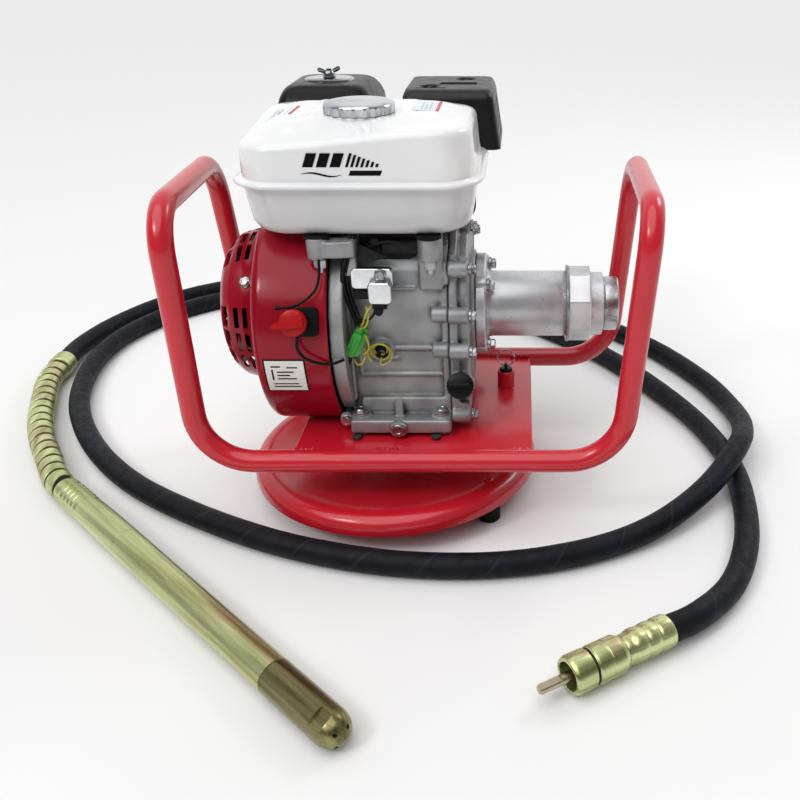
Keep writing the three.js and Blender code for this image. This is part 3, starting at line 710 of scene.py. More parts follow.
RED = paint("red_paint", (202, 30, 46), (194, 25, 41), 0.2, 0.27, Coat_Weight=0.2, Coat_Roughness=0.1)
CRIMSON = paint("shroud_red", (158, 9, 36), (138, 5, 27), 0.16, 0.24, Specular_IOR_Level=0.26,
                Coat_Weight=0.06, Coat_Roughness=0.05)
WHITE = tank_paint()
BLACK_PAINT = paint("black_paint", (26, 26, 28), (12, 12, 13), 0.36, 0.5, Specular_IOR_Level=0.25)
GUARD_GREY = paint("guard_grey", (18, 18, 20), (8, 8, 9), 0.3, 0.42, Specular_IOR_Level=0.3)
ALUMINIUM = casting("cast_aluminium", (176, 177, 178), (132, 133, 135), (24, 24, 25), metallic=0.7)
ADAPTER_ALUMINIUM = casting("machined_aluminium", (214, 215, 217), (180, 182, 185), (118, 119, 121),
                            0.26, 0.4, 0.14, 0.62)
IRON = casting("dark_iron", (74, 72, 70), (44, 43, 42), (20, 18, 17), 0.55, 0.75, 0.4, 0.6)
ZINC = metal("zinc_steel", (200, 202, 205), (146, 148, 152), 0.2, 0.38)
# Chrome's colour is mottled from bright to dark grey: painted reflection, the dark patches stand for dark
# surroundings mirrored in it.
CHROME = metal("chrome", (222, 224, 227), (120, 122, 126), 0.05, 0.14, grain=0.012, scale=16)
BRIGHT_STEEL = metal("bright_steel", (240, 241, 242), (208, 210, 212), 0.18, 0.3, grain=0.02)
DRIVE_STEEL = metal("drive_steel", (214, 204, 178), (150, 138, 110), 0.2, 0.36)
POKER_ZINC = yellow_zinc("poker_yellow_zinc", POKER_TURN)
POKER_CAP_ZINC = yellow_zinc("poker_cap_zinc", POKER_TURN, dull=True)
COUPLING_ZINC = yellow_zinc("coupling_yellow_zinc", COUPLING_TURN)
GUARD_ZINC = yellow_zinc("guard_yellow_zinc", COLLAR_TURN, low=0.36, high=0.5)
BLACK_PLASTIC = moulded("black_plastic", (16, 16, 17), (7, 7, 8), 0.3, 0.42, Specular_IOR_Level=0.2)
CLEANER_BLACK = moulded("cleaner_black", (18, 18, 19), (8, 8, 9), 0.26, 0.38, Specular_IOR_Level=0.16)
KNOB_RED = moulded("red_plastic", (184, 19, 21), (164, 12, 15), 0.28, 0.42, 0.06, Specular_IOR_Level=0.26)
RUBBER = moulded("foot_rubber", (18, 18, 19), (8, 8, 9), 0.62, 0.8, 0.3, Specular_IOR_Level=0.2)
FELT = moulded("filter_felt", (104, 104, 100), (70, 70, 68), 0.85, 0.95, 0.6, 600)
INSULATION = moulded("wire_black", (14, 14, 15), (6, 6, 7), 0.35, 0.5, Specular_IOR_Level=0.2)
LEAD_YELLOW = moulded("yellow_lead", (186, 182, 70), (160, 154, 44), 0.35, 0.5, 0.05)
CONNECTOR_GREEN = moulded("connector_green", (70, 180, 60), (44, 146, 44), 0.3, 0.45, 0.05)
DECAL_BLACK = moulded("decal_black", (8, 8, 9), (4, 4, 5), 0.4, 0.5, 0.02, Specular_IOR_Level=0.1)
LABEL_WHITE = moulded("label_white", (238, 237, 232), (226, 225, 220), 0.3, 0.42, 0.02)
LABEL_BLUE = moulded("label_blue", (226, 232, 238), (214, 221, 230), 0.3, 0.42, 0.02)
LABEL_RED = moulded("label_red", (190, 48, 62), (172, 38, 52), 0.3, 0.42, 0.02)
LABEL_GREY = moulded("label_grey", (176, 188, 204), (160, 172, 190), 0.3, 0.42, 0.02)
# Matte near-black standing for shade: painted shade in the coupling's groove, between the guard's coils and
# in the gap under the tank.
SHADE = moulded("painted_shade_black", (12, 12, 13), (8, 8, 9), 0.7, 0.9)
GASKET = moulded("gasket_grey", (58, 58, 60), (40, 40, 42), 0.7, 0.85)
HOSE = wrapped_hose()


# ---------------------------------------------------------------- fasteners
def bolt(shape, place, across=10.0, head=5.0, washer=15.0, flange=True):
    """A hexagon flange bolt's head on local Z, seated at the place's origin."""
    if washer:
        shape.add(rod(washer / 2, 0, 1.6, 0.3, 24), place)
    seat = 1.6 if washer else 0.0
    if flange:
        skirt = across * 0.72
        shape.add(turned([(0, seat), (skirt, seat), (skirt, seat + 0.8), (across * 0.5, seat + 1.8),
                          (0, seat + 1.8)], 24), place)
    top = seat + head
    spin = Matrix.Rotation(scatter.uniform(0, math.tau), 4, "Z")
    shape.add(hexagon(across, seat + 0.5, top - 0.6, 0.4), place @ spin)
    shape.add(turned([(0, top - 0.8), (across * 0.5, top - 0.8), (across * 0.44, top), (across * 0.3, top),
                      (across * 0.26, top - 0.5), (0, top - 0.5)], 24), place)


# ---------------------------------------------------------------- flexible shaft
def make_shaft():
    hose_line = evenly(through(HOSE_ROUTE, 10), 5.2)
    tape_pitch = 46

    def wrapped(distance, angle):
        """The hose's radius, with the spiral edge of the tape that it was cured in."""
        tape = (distance / tape_pitch + angle / math.tau) % 1
        return HOSE_R - 0.12 + 0.22 * math.exp(-tape * 14) + 0.07 * math.sin(distance / 17 + 2 * angle)

    hose = piece("hose", Shape(swept(hose_line, wrapped, 28)), HOSE, "base",
                 ["flexible_hose"], sharp=60)

    place = lying(COUPLING, COUPLING_TURN)
    ribs = [(0, 0), (12.7, 0), (12.7, -2), (14.4, -2), (15.0, 0), (15.2, 6), (15.1, 11), (13.9, 13.2),
            (15.0, 16), (15.3, 20), (15.0, 23.5), (13.9, 26.2), (15.0, 29), (15.3, 33), (15.0, 36.5),
            (13.6, 40.5), (13.6, 47), (0, 47)]
    ferrule = piece("coupling_crimp", Shape(lathe(ribs, 1.4, 64), place), COUPLING_ZINC, "base",
                    ["coupling_ferrule"])

    mouth = [(0, 47.3), (13.9, 47.3), (14.6, 48.2), (16.8, 52.6), (16.8, 64.2), (16.5, 64.5), (16.5, 65.3),
             (16.8, 65.6), (16.8, 77.4), (15.4, 78.6), (15.4, 81), (16.9, 82), (16.9, 98), (15.4, 101),
             (12.7, 101), (12.5, 100.6), (12.5, 76), (0, 76)]
    body = piece("coupling_nose", Shape(lathe(mouth, 0.6, 72), place), COUPLING_ZINC, "base",
                 ["coupling_body"])
    # A dark ring that fills the nose's groove: painted shade in the groove.
    groove = [(13, 79), (15.9, 79), (15.9, 80.6), (13, 80.6), (13, 79)]
    ring = piece("coupling_groove_shade_ring", Shape(turned(groove, 64), place), SHADE, "base")

    shank = lathe([(0, 76.4), (8.5, 76.4), (8.5, 80), (4.4, 80), (4.4, 127), (3.2, 129), (0, 129)], 0.6, 32)
    flats = [placed(block(-8, 8, low, high, 108, 131, 0), place) for low, high in ((2.9, 8), (-8, -2.9))]
    tip = piece("drive_shaft_tip", Shape(shank, place).cut(*flats), DRIVE_STEEL, "drive_tip",
                ["drive_tip"])

    place = lying(COLLAR, COLLAR_TURN)
    bead = [(0, 0), (14.3, 0), (15.7, 1.6), (15.7, 9), (14.5, 11.5), (15.5, 15), (15.4, 24), (13.6, 27.4),
            (0, 27.4)]
    collar = piece("guard_crimp", Shape(lathe(bead, 1.5, 64), place), GUARD_ZINC, "base",
                   ["guard_collar"])

    guard_line = evenly(through(GUARD_ROUTE, 12), 2.0)
    # The hose inside the guard, in the shade black: the hose itself, and painted shade between the coils.
    inner = piece("guard_inner_hose", Shape(swept(guard_line, 12.3, 24)), SHADE, "base")
    spring = piece("guard_spring", make_spring(guard_line), GUARD_ZINC, "base",
                   ["spring_guard"])

    place = lying(POKER, POKER_TURN)
    crimps = [(0, -1.0), (14.4, -1.0), (14.9, 0.6), (15.0, 6)]
    for k in range(5):
        crimps += [(14.3, 11 + 8 * k), (15.2, 14 + 8 * k), (15.3, 17 + 8 * k)]
    crimps += [(14.6, 52), (15.3, 60), (15.9, 92), (15.9, 137.6), (15.5, 138.5), (0, 138.5)]
    poker_end = Shape(lathe(crimps, 1.8, 72), place)
    crimp = piece("poker_crimp", poker_end, POKER_ZINC, "base", ["poker_ferrule"])
    dress("poker_casing", POKER_ZINC, 0.3)
    dress("poker_cap", POKER_CAP_ZINC, 0.35)


def line_length(points):
    return sum((b - a).length for a, b in zip(points, points[1:]))


def make_spring(line):
    """A flat steel strip wound round the hose in 17.5 turns."""
    coils, steps_per_coil = 17.5, 40
    strip, outer, inner = 14.9, GUARD_R + 0.1, 12.6
    section = [(-1, inner), (-1, outer - 0.9), (-0.93, outer - 0.25), (-0.6, outer),
               (0.6, outer), (0.93, outer - 0.25), (1, outer - 0.9), (1, inner)]
    frames = frames_along(line)
    total = line_length(line)
    steps = round(coils * steps_per_coil)
    rings = []
    for n in range(steps + 1):
        share = n / steps
        along = 2 + share * (total - 2.5)
        angle = coils * math.tau * share
        corners = []
        for shift, radius in section:
            spot = min(total, max(0.0, along + shift * strip / 2))
            index = min(len(line) - 2, int(spot / total * (len(line) - 1)))
            part = spot / total * (len(line) - 1) - index
            _, side, other = frames[index]
            centre = line[index].lerp(line[index + 1], part)
            corners.append(centre + side * radius * math.cos(angle) + other * radius * math.sin(angle))
        rings.append(corners)
    return Shape(stacked(rings))


# ---------------------------------------------------------------- swivel base
def make_base():
    top = [(10.2, 46.6), (10.2, 49.6), (29, 49.6), (32, 46.4), (44, 44.4), (116, 44.0), (128, 44.6),
           (136, 46.0), (143, 45.6), (149, 42.6), (152.3, 37.5), (153, 32), (153, 27)]
    under = [(151.2, 27), (151.2, 32), (150.4, 36.6), (147.6, 41), (142.4, 43.6), (136, 43.9), (128, 42.4),
             (116, 41.8), (44, 42.2), (32, 44.2), (26, 46.6), (10.2, 46.6)]
    pressing = Shape(turned(eased(top[:-1], 3, 3) + [top[-1]] + under, 128), at(*SWIVEL))
    reach = PIN - SWIVEL
    holes = [bore(5.6, 30, 60, 24, at(*SWIVEL) @ spun(turn) @ at(*reach)) for turn in (0, 90, 180)]
    piece("base_pressing", pressing.cut(*holes), RED, "base", ["swivel_disc"], sharp=50)

    for number, angle in enumerate((-38, 82, 202), 1):
        turn = math.radians(angle)
        place = at(SWIVEL.x + FOOT_CIRCLE * math.cos(turn), SWIVEL.y + FOOT_CIRCLE * math.sin(turn), 0)
        pad = [(0, 1.2), (6, 1.2), (7, 0), (10.6, 0), (12, 1.6), (12, 25), (10, 27), (9.5, 30), (7, 35),
               (3, 36), (3, 41), (0, 41)]
        piece(f"foot_{number}", Shape(lathe(pad, 0.8, 40), place), RUBBER, "base",
              [f"rubber_foot_{number}"])
        radius, head = 4.6, 2.2
        dome = [(0, 0), (radius, 0), (radius, head * 0.4), (radius * 0.75, head * 0.85), (0, head)]
        piece(f"foot_screw_{number}", Shape(turned(dome, 24), place @ at(0, 0, 46.2)), RED, "base")

    bearing = [(0, 30), (13, 30), (15, 32), (15, 41.4), (9.6, 42.4), (9.6, 50.4), (26, 50.4), (26, 56),
               (24.6, 57), (24.6, 60), (26, 61), (26, 80), (30, 84), (47, 86.4), (48, 87.4), (48, 91.7),
               (0, 91.7)]
    boss = Shape(lathe(bearing, 0.8, 64), at(*SWIVEL))
    circle_r = 39
    for k in range(4):
        turn = math.radians(45 + 90 * k)
        spot = at(SWIVEL.x + circle_r * math.cos(turn), SWIVEL.y + circle_r * math.sin(turn), 86.8)
        bolt(boss, spot @ UPSIDE_DOWN, 8, 3.4, 0)
    piece("swivel_bearing", boss, ZINC, "carry_frame", ["swivel_boss"])


# ---------------------------------------------------------------- carry frame
def bent(corners, radii):
    """A closed line through the corners, each rounded as a bent tube is."""
    steps = 10
    points, count = [Vector(c) for c in corners], len(corners)
    line = []
    for i, p in enumerate(points):
        start = p + (points[i - 1] - p).normalized() * radii[i]
        end = p + (points[(i + 1) % count] - p).normalized() * radii[i]
        hold_in, hold_out = start.lerp(p, 0.55), end.lerp(p, 0.55)
        for k in range(steps + 1):
            t = k / steps
            leaving = start * (1 - t) ** 3 + hold_in * 3 * t * (1 - t) ** 2
            line.append(leaving + hold_out * 3 * t * t * (1 - t) + end * t ** 3)
    return line


def weld_bead(shape, start, end):
    """A short irregular seam of weld metal."""
    width, step = 3.4, 1.1
    start, end = Vector(start), Vector(end)
    count = max(6, round((end - start).length / step))
    line = [start.lerp(end, k / count) + Vector((0, scatter.uniform(-0.3, 0.3), scatter.uniform(-0.2, 0.3)))
            for k in range(count + 1)]

    def lumps(distance, angle):
        return width * (0.82 + 0.18 * math.sin(distance * 1.7) + 0.08 * math.sin(3 * angle + distance))

    shape.add(swept(line, lumps, 14))


def make_frame():
    """The carry frame's one bent tube, its plate and welds, and the spring peg that locks the swivel."""
    low, front_top, back_top = RAIL_Z, 338, 327
    bends = (50, 40, 40, 50, 50, 40, 40, 50)
    corners = [(-202, -RAIL_Y, low), (-203, -RAIL_Y, front_top), (-229, RAIL_Y, back_top),
               (-210, RAIL_Y, low), (209, RAIL_Y, low), (229, RAIL_Y, back_top), (219, -RAIL_Y, front_top),
               (201, -RAIL_Y, low)]
    tube = Shape(swept(evenly_closed(bent(corners, bends), 6), TUBE_R, 40, closed=True))
    piece("frame_tube", tube, RED, "carry_frame",
          ["front_rail", "rear_rail", "left_handle", "right_handle"], sharp=60)
    plate = Shape(block(-116, 117, -108.6, 108.6, 92, 97, 1.1, 3))
    holes = [bore(r, 88, 100, 24, at(x, y, 0))
             for x, y, r in [(PIN.x, PIN.y, 5.3), *((x, y, 4.6) for x, y in FOOT_BOLTS)]]
    piece("mounting_plate", plate.cut(*holes), RED, "carry_frame", ["engine_plate"])
    seams = Shape()
    for x in (-104, -24, 104):
        weld_bead(seams, (x - 11, -109.6, 98.6), (x + 10, -109.6, 98.6))
        weld_bead(seams, (x - 10, 109.6, 98.6), (x + 11, 109.6, 98.6))
    piece("weld_seams", seams, RED, "carry_frame")

    eye_height = 121.6
    sleeve = [(5.3, 97.1), (9.6, 97.1), (9.3, 98.4), (9.3, 115), (8.5, 116), (7.4, 116), (7.2, 115.6),
              (7.2, 104.5), (5.3, 104.5), (5.3, 97.1)]
    piece("peg_sleeve", Shape(turned(sleeve, 48), at(*PIN)), RED, "carry_frame",
          ["lock_pin_sleeve"])
    stem = [(0, 47.8), (3.6, 47.8), (4.7, 49.4), (4.7, 112), (6.8, 112), (6.8, 118), (6.0, 118.8),
            (0, 118.8)]
    peg = Shape(lathe(stem, 0.5, 40), at(*PIN))
    ear = [(-3.4, 117.5), (3.4, 117.5), (3.4, 122.4), (2.4, 124), (-2.4, 124), (-3.4, 122.4)]
    eye = Shape(prism(ear, -1.6, 1.6, 0.4), facing_drive(PIN.x, PIN.y, 0))
    eye.cut(bore(1.4, -5, 5, 16, facing_drive(PIN.x, PIN.y, eye_height)))
    peg.add(eye.mesh)
    piece("lock_peg", peg, BLACK_PLASTIC, "lock_pin", ["lock_pin"])
    # The split ring hangs through the eye.
    radius, coils, pitch = 9.3, 1.9, 0.9
    turns = [Vector((radius * math.sin(a), pitch * (a / math.tau / coils - 0.5), -radius * math.cos(a)))
             for a in (math.tau * coils * k / 90 for k in range(91))]
    ring = swept(turns, 0.7, 10)
    piece("split_ring", Shape(ring, at(PIN.x, PIN.y, eye_height + radius)), CHROME, "pull_ring",
          ["pull_ring"])


def evenly_closed(line, step):
    return evenly(line + [line[0]], step)[:-1]


# ---------------------------------------------------------------- engine castings
def make_crankcase():
    x0, x1 = -64, 36
    case = Shape()
    body = [(-57, 116), (-57, 236), (-52, 262), (-40, 283), (40, 283), (57, 270), (96, 184), (82, 150),
            (80, 116)]
    case.add(prism(body, x0, x1, 1.0), SIDEWAYS)
    case.add(block(x0, x1, -80, 110, 101.2, 115.6, 1.2))
    case.add(block(x0 + 1, x1 - 1, -82, -74, 102, 116, 1.0))
    for x, y in FOOT_BOLTS:
        case.add(rod(9.5, 97.4, 117.4, 0.6, 32), at(x, y, 0))
    case.add(prism([(-1.5, 0), (8.5, 0), (8.5, 4), (-1.5, 22)], -4, 4, 0.8), facing_drive(-16, -70, 115))
    case.add(prism(drum_outline(103, 101.4, 290, 96), -74.6, x0 + 3, 0.8), SIDEWAYS)
    for y0, y1 in ((-60, -58), (-64, -56)):
        case.add(block(x0 - 1, x0 + 6, y0, y1 + 6, 130, 250, 0.8))
    # Ridges on the front wall.
    for left, right, low, high, proud in ((-18, 5, 245, 247, 1.3), (-27, 28, 183, 186, 2.2),
                                          (-30, -27, 174, 185, 2.2), (-30, -14, 173, 175.4, 1.8),
                                          (-54, 32, 155, 157.6, 1.8), (-54, -51.6, 157, 182, 1.6)):
        case.add(block(left, right, -57 - proud, -55, low, high, 0.6))
    case.add(block(-54, 33, -64, -55, 116, 133, 2.0))
    # The sensor boss where the yellow lead comes out, and the tank posts.
    case.add(rod(12.5, 0, 3, 0.8, 40), facing_front(-31, -56, 183))
    case.add(rod(9.8, 276, 299.4, 0.8, 40), at(21, -62, 0))
    case.add(prism(rounded_rectangle(9.5, 32.5, -62, -46, 4), 246, 299.4, 0.8))
    case.add(block(30, 37, -60, -46, 250, 262, 1.5))
    case.add(rod(9.4, 279, 299.4, 0.8, 40), at(-82, -66, 0))
    case.add(prism([(-84, -74), (-66, -75), (-47, -72), (-47, -56), (-84, -58)], 281, 296.6, 2.0, 3))
    case.add(block(-60, -47, -68, -45, 262, 292, 1.5))
    # The flange against the side cover, and the joint's bosses.
    flange = [(-60, 104), (-63, 122), (-63, 182), (-58, 240), (-44, 274), (-30, 284), (30, 286), (60, 270),
              (82, 234), (88, 180), (84, 125), (78, 104)]
    case.add(prism(flange, 29, x1, 1.0), SIDEWAYS)
    for y, z in ((-53, 262), (-63, 222), (-66, 186), (-61, 112)):
        case.add(rod(8, 20, x1, 0.8, 28), facing_drive(0, y, z))
    case.cast()
    case.cut(bore(14, -90, 50, 40, ON_CRANK),
             *(bore(4.6, 90, 120, 24, at(x, y, 0)) for x, y in FOOT_BOLTS),
             bore(5.3, -4, 8, 24, facing_front(-16, -78, 108.5)))
    piece("crankcase_casting", case, ALUMINIUM, "carry_frame", ["crankcase"], sharp=50,
          shade_hollows=True)

    gasket = [(y * 1.012, z) for y, z in flange]
    piece("case_gasket", Shape(prism(gasket, x1 + 0.02, x1 + 0.32), SIDEWAYS), GASKET, "carry_frame")


def make_foot_fasteners():
    plug = Shape(rod(9, 0, 2.2, 0.4, 40), facing_front(-16, -82.4, 108.5))
    plug.add(rod(5, -10, 1, 0.3, 24), facing_front(-16, -82.4, 108.5))
    bolt(plug, facing_front(-16, -84, 108.5), 12.4, 4.4, 0)
    piece("drain_plug", plug, ZINC, "carry_frame", ["oil_drain_plug"])
    spare = Shape()
    bolt(spare, facing_front(-70, -64, 110), 9.5, 7, 13)
    spare.add(rod(7, -12, 0, 0.6, 28), facing_front(-70, -64, 110))
    piece("shroud_foot_bolt", spare, ZINC, "carry_frame")
    stubs = Shape()
    for x in (-58, 21):
        stubs.add(rod(4.8, 97.1, 101.0, 0.8, 24), at(x, -84, 0))
        stubs.add(block(x - 3, x + 3, -86, -76, 97.1, 100.6, 0.5))
    piece("foot_shims", stubs, IRON, "carry_frame")

    for number, (x, y) in enumerate(FOOT_BOLTS, 1):
        held = Shape()
        bolt(held, at(x, y, 117.4), 10.5, 4.6, 15)
        held.add(rod(4.1, 86, 118, 0.2, 24), at(x, y, 0))
        bolt(held, at(x, y, 91.9) @ UPSIDE_DOWN, 12, 6, 15, False)
        piece(f"foot_bolt_{number}", held, ZINC, "carry_frame", [f"engine_bolt_{number}"])


def make_side_cover():
    x0, x1 = 36.4, 58
    bosses = [(-53, 264), (-66, 222), (-70, 186), (-64, 114), (8, 288), (62, 268), (86, 222), (84, 130)]
    cover = Shape()
    outline = [(-61, 104), (-66, 120), (-66, 180), (-61, 240), (-45, 275), (-15, 290), (30, 290), (62, 272),
               (84, 236), (92, 180), (88, 125), (78, 104)]
    cover.add(prism(outline, x0, x0 + 8, 1.0), SIDEWAYS)
    inner = [(CRANK_Y + (y - CRANK_Y) * 0.93, CRANK_Z + (z - CRANK_Z) * 0.95) for y, z in outline]
    cover.add(prism(inner, x0, x1 - 3, 2.5, 3), SIDEWAYS)
    cover.add(rod(56, x0, x1 + 1.6, 1.6, 72), ON_CRANK)
    for y, z in bosses:
        cover.add(rod(8.2, x0, x1 - 2, 1.0, 32), facing_drive(0, y, z))
        web = prism([(-3, 0), (3, 0), (2, 26), (-2, 26)], x0, x1 - 6, 0.6)
        to_crank = Matrix.Rotation(math.atan2(y - CRANK_Y, CRANK_Z - z), 4, "Z")
        cover.add(web, facing_drive(0, y, z) @ to_crank)
    for k in range(6):
        web = prism([(-2, 40), (2, 40), (2, 78), (-2, 74)], x0, x1 - 1.5, 0.6)
        cover.add(web, ON_CRANK @ spun(30 + 60 * k))
    lean = Matrix.Rotation(-0.44, 4, "X") @ spun(90, "X")
    filler = at(47, -64, 147) @ lean
    cover.add(rod(12.8, -16, 14.6, 1.2, 48), filler)
    cover.add(block(44, x1 - 2, -67, -56, 104, 128, 2))
    cover.cast()
    cover.cut(bore(14, 20, 80, 40, ON_CRANK), bore(5.4, -40, 40, 32, filler),
              block(30, 90, -130, 130, 60, 103.6, 0), block(20, x0, -130, 130, 60, 320, 0))
    piece("side_cover_casting", cover, ALUMINIUM, "carry_frame", ["crankcase_side_cover"],
          sharp=50, shade_hollows=True)
    bolts = Shape()
    for y, z in bosses:
        bolt(bolts, facing_drive(x1 - 2, y, z), 8.4, 5.2, 12)
    piece("side_cover_bolts", bolts, ZINC, "carry_frame")
    make_dipstick(filler)


def make_dipstick(filler):
    cap = Shape()
    rim = []
    for k in range(44):
        radius, angle = 13.4 - 0.5 * (k % 2), math.tau * k / 44
        rim.append((radius * math.cos(angle), radius * math.sin(angle)))
    cap.add(scaled_stack(rim, (16.4, 0.95), (17.4, 1), (26, 1), (27.6, 0.97), (28.6, 0.82)), filler)
    cap.add(prism(rounded_rectangle(-10, 10, -2.4, 2.4, 2.2, 4), 28, 31.6, 0.9), filler)
    cap.add(rod(3.4, -27.6, 18, 0.4, 24), filler)
    piece("dipstick_cap", cap, BLACK_PLASTIC, "oil_dipstick", ["oil_dipstick"])


def make_adapter():
    tube = [(28, 60.3), (51.6, 60.3), (52.5, 61.2), (52.5, 69), (51.6, 70), (40, 70.4), (36.4, 71.2),
            (34.6, 73.4), (34, 77), (34, 150), (32.6, 152), (32.6, 189.4), (31.8, 190), (28, 190),
            (28, 60.3)]
    body = Shape(turned(tube, 96), ON_CRANK)
    radius = 46
    ears = [(radius * math.cos(a), radius * math.sin(a))
            for a in (math.radians(45 + 90 * k) for k in range(4))]
    for x, y in ears:
        body.add(rod(9, 60.3, 71.6, 1.2, 32), ON_CRANK @ at(x, y, 0))
    piece("adapter_tube", body, ADAPTER_ALUMINIUM, "carry_frame", ["drive_adapter"],
          shade_hollows=True)
    bolts = Shape()
    for x, y in ears:
        bolt(bolts, ON_CRANK @ at(x, y, 71.4), 10, 6.4, 13.4)
    piece("adapter_bolts", bolts, ZINC, "carry_frame")

    nut = Shape(prism(circle(39.2, 8), 152.4, 177, 1.6, 3), ON_CRANK)
    lip = [(33.6, 152.3), (39.4, 152.3), (39.9, 153.4), (39.4, 155), (33.6, 155), (33.6, 152.3)]
    neck = [(33.6, 170), (37.6, 170), (37.6, 179.6), (36.8, 181), (35.2, 189), (34.6, 189.7), (33.6, 189.7),
            (33.6, 170)]
    nut.add(turned(lip, 96), ON_CRANK)
    nut.add(turned(neck, 96), ON_CRANK)
    nut.cut(bore(33.5, 140, 200, 96, ON_CRANK))
    piece("lock_collar", nut, ADAPTER_ALUMINIUM, "collar_nut", ["collar_nut"],
          shade_hollows=True)
    ring = [(18, 162), (27.2, 162), (27.2, 191), (27.9, 192), (27.9, 204.6), (26.4, 206), (19.6, 206),
            (18, 204.6)]
    piece("drive_sleeve", Shape(lathe_ring(ring, 0.4, 96), ON_CRANK), ZINC, "carry_frame",
          ["coupling_sleeve"])


# ---------------------------------------------------------------- fan and starter
def drum_outline(radius, floor, roof, count):
    """A circle round the shroud's middle, cut off flat at the floor and the roof."""
    return [Vector((SHROUD_Y + p.x, min(roof, max(floor, SHROUD_Z + p.y)))) for p in circle(radius, count)]


BAND = 144  # where one of the dome's four plain bands lies, in degrees
GRIP_X = -168
GRIP_Z = CRANK_Z + 45


def make_shroud():
    def shell(radius, floor, roof, levels):
        loops = []
        for x, inset in levels:
            outline = drum_outline(radius - inset, floor + inset * 0.6, roof - inset, 120)
            loops.append([Vector((x, p.x, p.y)) for p in outline])
        return stacked(loops)

    round_over = [(-147, 9), (-146.6, 6), (-145.4, 3.4), (-143, 1.4), (-139, 0.3), (-136, 0), (-78, 0),
                  (-76.4, 0.3), (-75, 1.2)]
    drum = Shape(shell(SHROUD_R, 101.4, 297, round_over))
    drum.cut(shell(SHROUD_R - 3, 104.4, 294, [(-143.6, 3), (-141, 0.5), (-70, 0)]),
             bore(66, -155, -138, 80, ON_CRANK))
    piece("fan_drum", drum, CRIMSON, "carry_frame", ["fan_shroud"], sharp=45)


def make_starter_cover():
    outer = [(84, -147.4), (84, -150.4), (79.6, -152), (78.6, -156), (77.6, -164), (74, -177), (68, -185),
             (60, -190), (50, -192), (30, -192), (27, -190.6), (0, -190.6)]
    inner = [(0, -156), (3.6, -156), (3.6, -188.6), (49, -189.6), (58.6, -187.6), (66, -182.8),
             (71.6, -175.4), (75, -163), (76, -156), (77, -147.4), (84, -147.4)]
    dome = Shape(turned(eased(outer, 1.6, 2)[:-1] + [outer[-1]] + inner, 96), ON_CRANK)
    slots = []
    for k in range(4):
        for row in (-1, 0, 1):
            turn = spun(90 * k + BAND - 45 + 19.5 * row)
            for shift, lean, wide in ((-161.5, 4, 2.4), (-170.8, 12, 2.4), (-180.2, 30, 2.2)):
                slot = prism(rounded_rectangle(-wide, wide, -10.2, 10.2, 1.4, 3), -14, 14)
                slots.append(placed(slot, ON_CRANK @ turn @ at(74, 0, shift) @ spun(90 - lean, "Y")))
    for k in range(12):
        slot = prism(rounded_rectangle(33, 46, -2.6, 2.6, 2.4, 4), -196, -187)
        slots.append(placed(slot, ON_CRANK @ spun(30 * k)))
    slots.append(bore(5.5, 50, 90, 24, facing_back(GRIP_X, CRANK_Y, GRIP_Z)))
    dome.cut(*slots)
    piece("starter_dome", dome, CRIMSON, "carry_frame", ["recoil_cover"], sharp=40)
    ring_screws = Shape()
    for k in range(4):
        spot = ON_CRANK @ spun(90 * k + BAND) @ at(77.4, 0, -160)
        bolt(ring_screws, spot @ spun(90, "Y"), 7.6, 4.4, 10)
    piece("starter_screws", ring_screws, CHROME, "carry_frame")


def make_starter_pull():
    """The grip, and a short length of rope from the cover towards it."""
    grip = Shape()
    bar = [(0, -40), (6.4, -40), (8.6, -38), (8.8, -30), (7.4, -12), (7.2, 0), (7.4, 12), (8.8, 30),
           (8.6, 38), (6.4, 40), (0, 40)]
    grip.add(lathe(bar, 2, 40), at(GRIP_X, 108, GRIP_Z))
    grip.add(lathe([(0, 0), (5.2, 0), (7.2, 2), (7.4, 8), (6.6, 13), (0, 13)], 0.8, 32),
             facing_front(GRIP_X, 103, GRIP_Z))
    piece("pull_grip", grip, BLACK_PLASTIC, "starter_grip", ["starter_grip"])
    line = [Vector((GRIP_X, 76 + 1.3 * k, GRIP_Z)) for k in range(13)]
    rope = piece("pull_rope", Shape(swept(line, 2.4, 12)), LABEL_WHITE, None)
    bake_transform(rope)


# ---------------------------------------------------------------- tank
def resampled(outline):
    """The same closed outline as a fixed number of points, so that its levels match."""
    count = 144
    closed = [Vector((p.x, p.y)) for p in outline]
    closed.append(closed[0])
    line = evenly(closed, line_length(closed) / count)[:-1]
    return [line[int(k * len(line) / count)] for k in range(count)]


LABEL_X, LABEL_DROP = -118.0, 23.0  # the drum label's middle: its X, and how far round below the front
TANK = {"left": -148.6, "right": 62.0, "front": -70.6, "back": 94.6, "top": 399.3}


def smooth(value, low, high):
    share = min(1.0, max(0.0, (value - low) / (high - low)))
    return share * share * (3 - 2 * share)


def tank_crease(x, y):
    """Height where the tank's walls turn over into its top: low at the front left, high right and back."""
    across = smooth(x, -130, 40)
    back = smooth(y, TANK["front"], TANK["back"])
    return (382.5 + 12.5 * across) * (1 - back) + (394 - 2 * across) * back


def tank_top(x, y, inset=None):
    """Height of the tank's top, which slopes up from the crease to a flat round the cap."""
    if inset is None:
        inset = min(x - TANK["left"], TANK["right"] - x, y - TANK["front"], TANK["back"] - y)
    low = tank_crease(x, y)
    share = smooth(inset, 2, 38)
    ridge = smooth(x, -93, -86) * (1 - smooth(x, 1, 8)) * smooth(y, -52, -34)
    return low + (TANK["top"] - low) * share + 1.1 * ridge


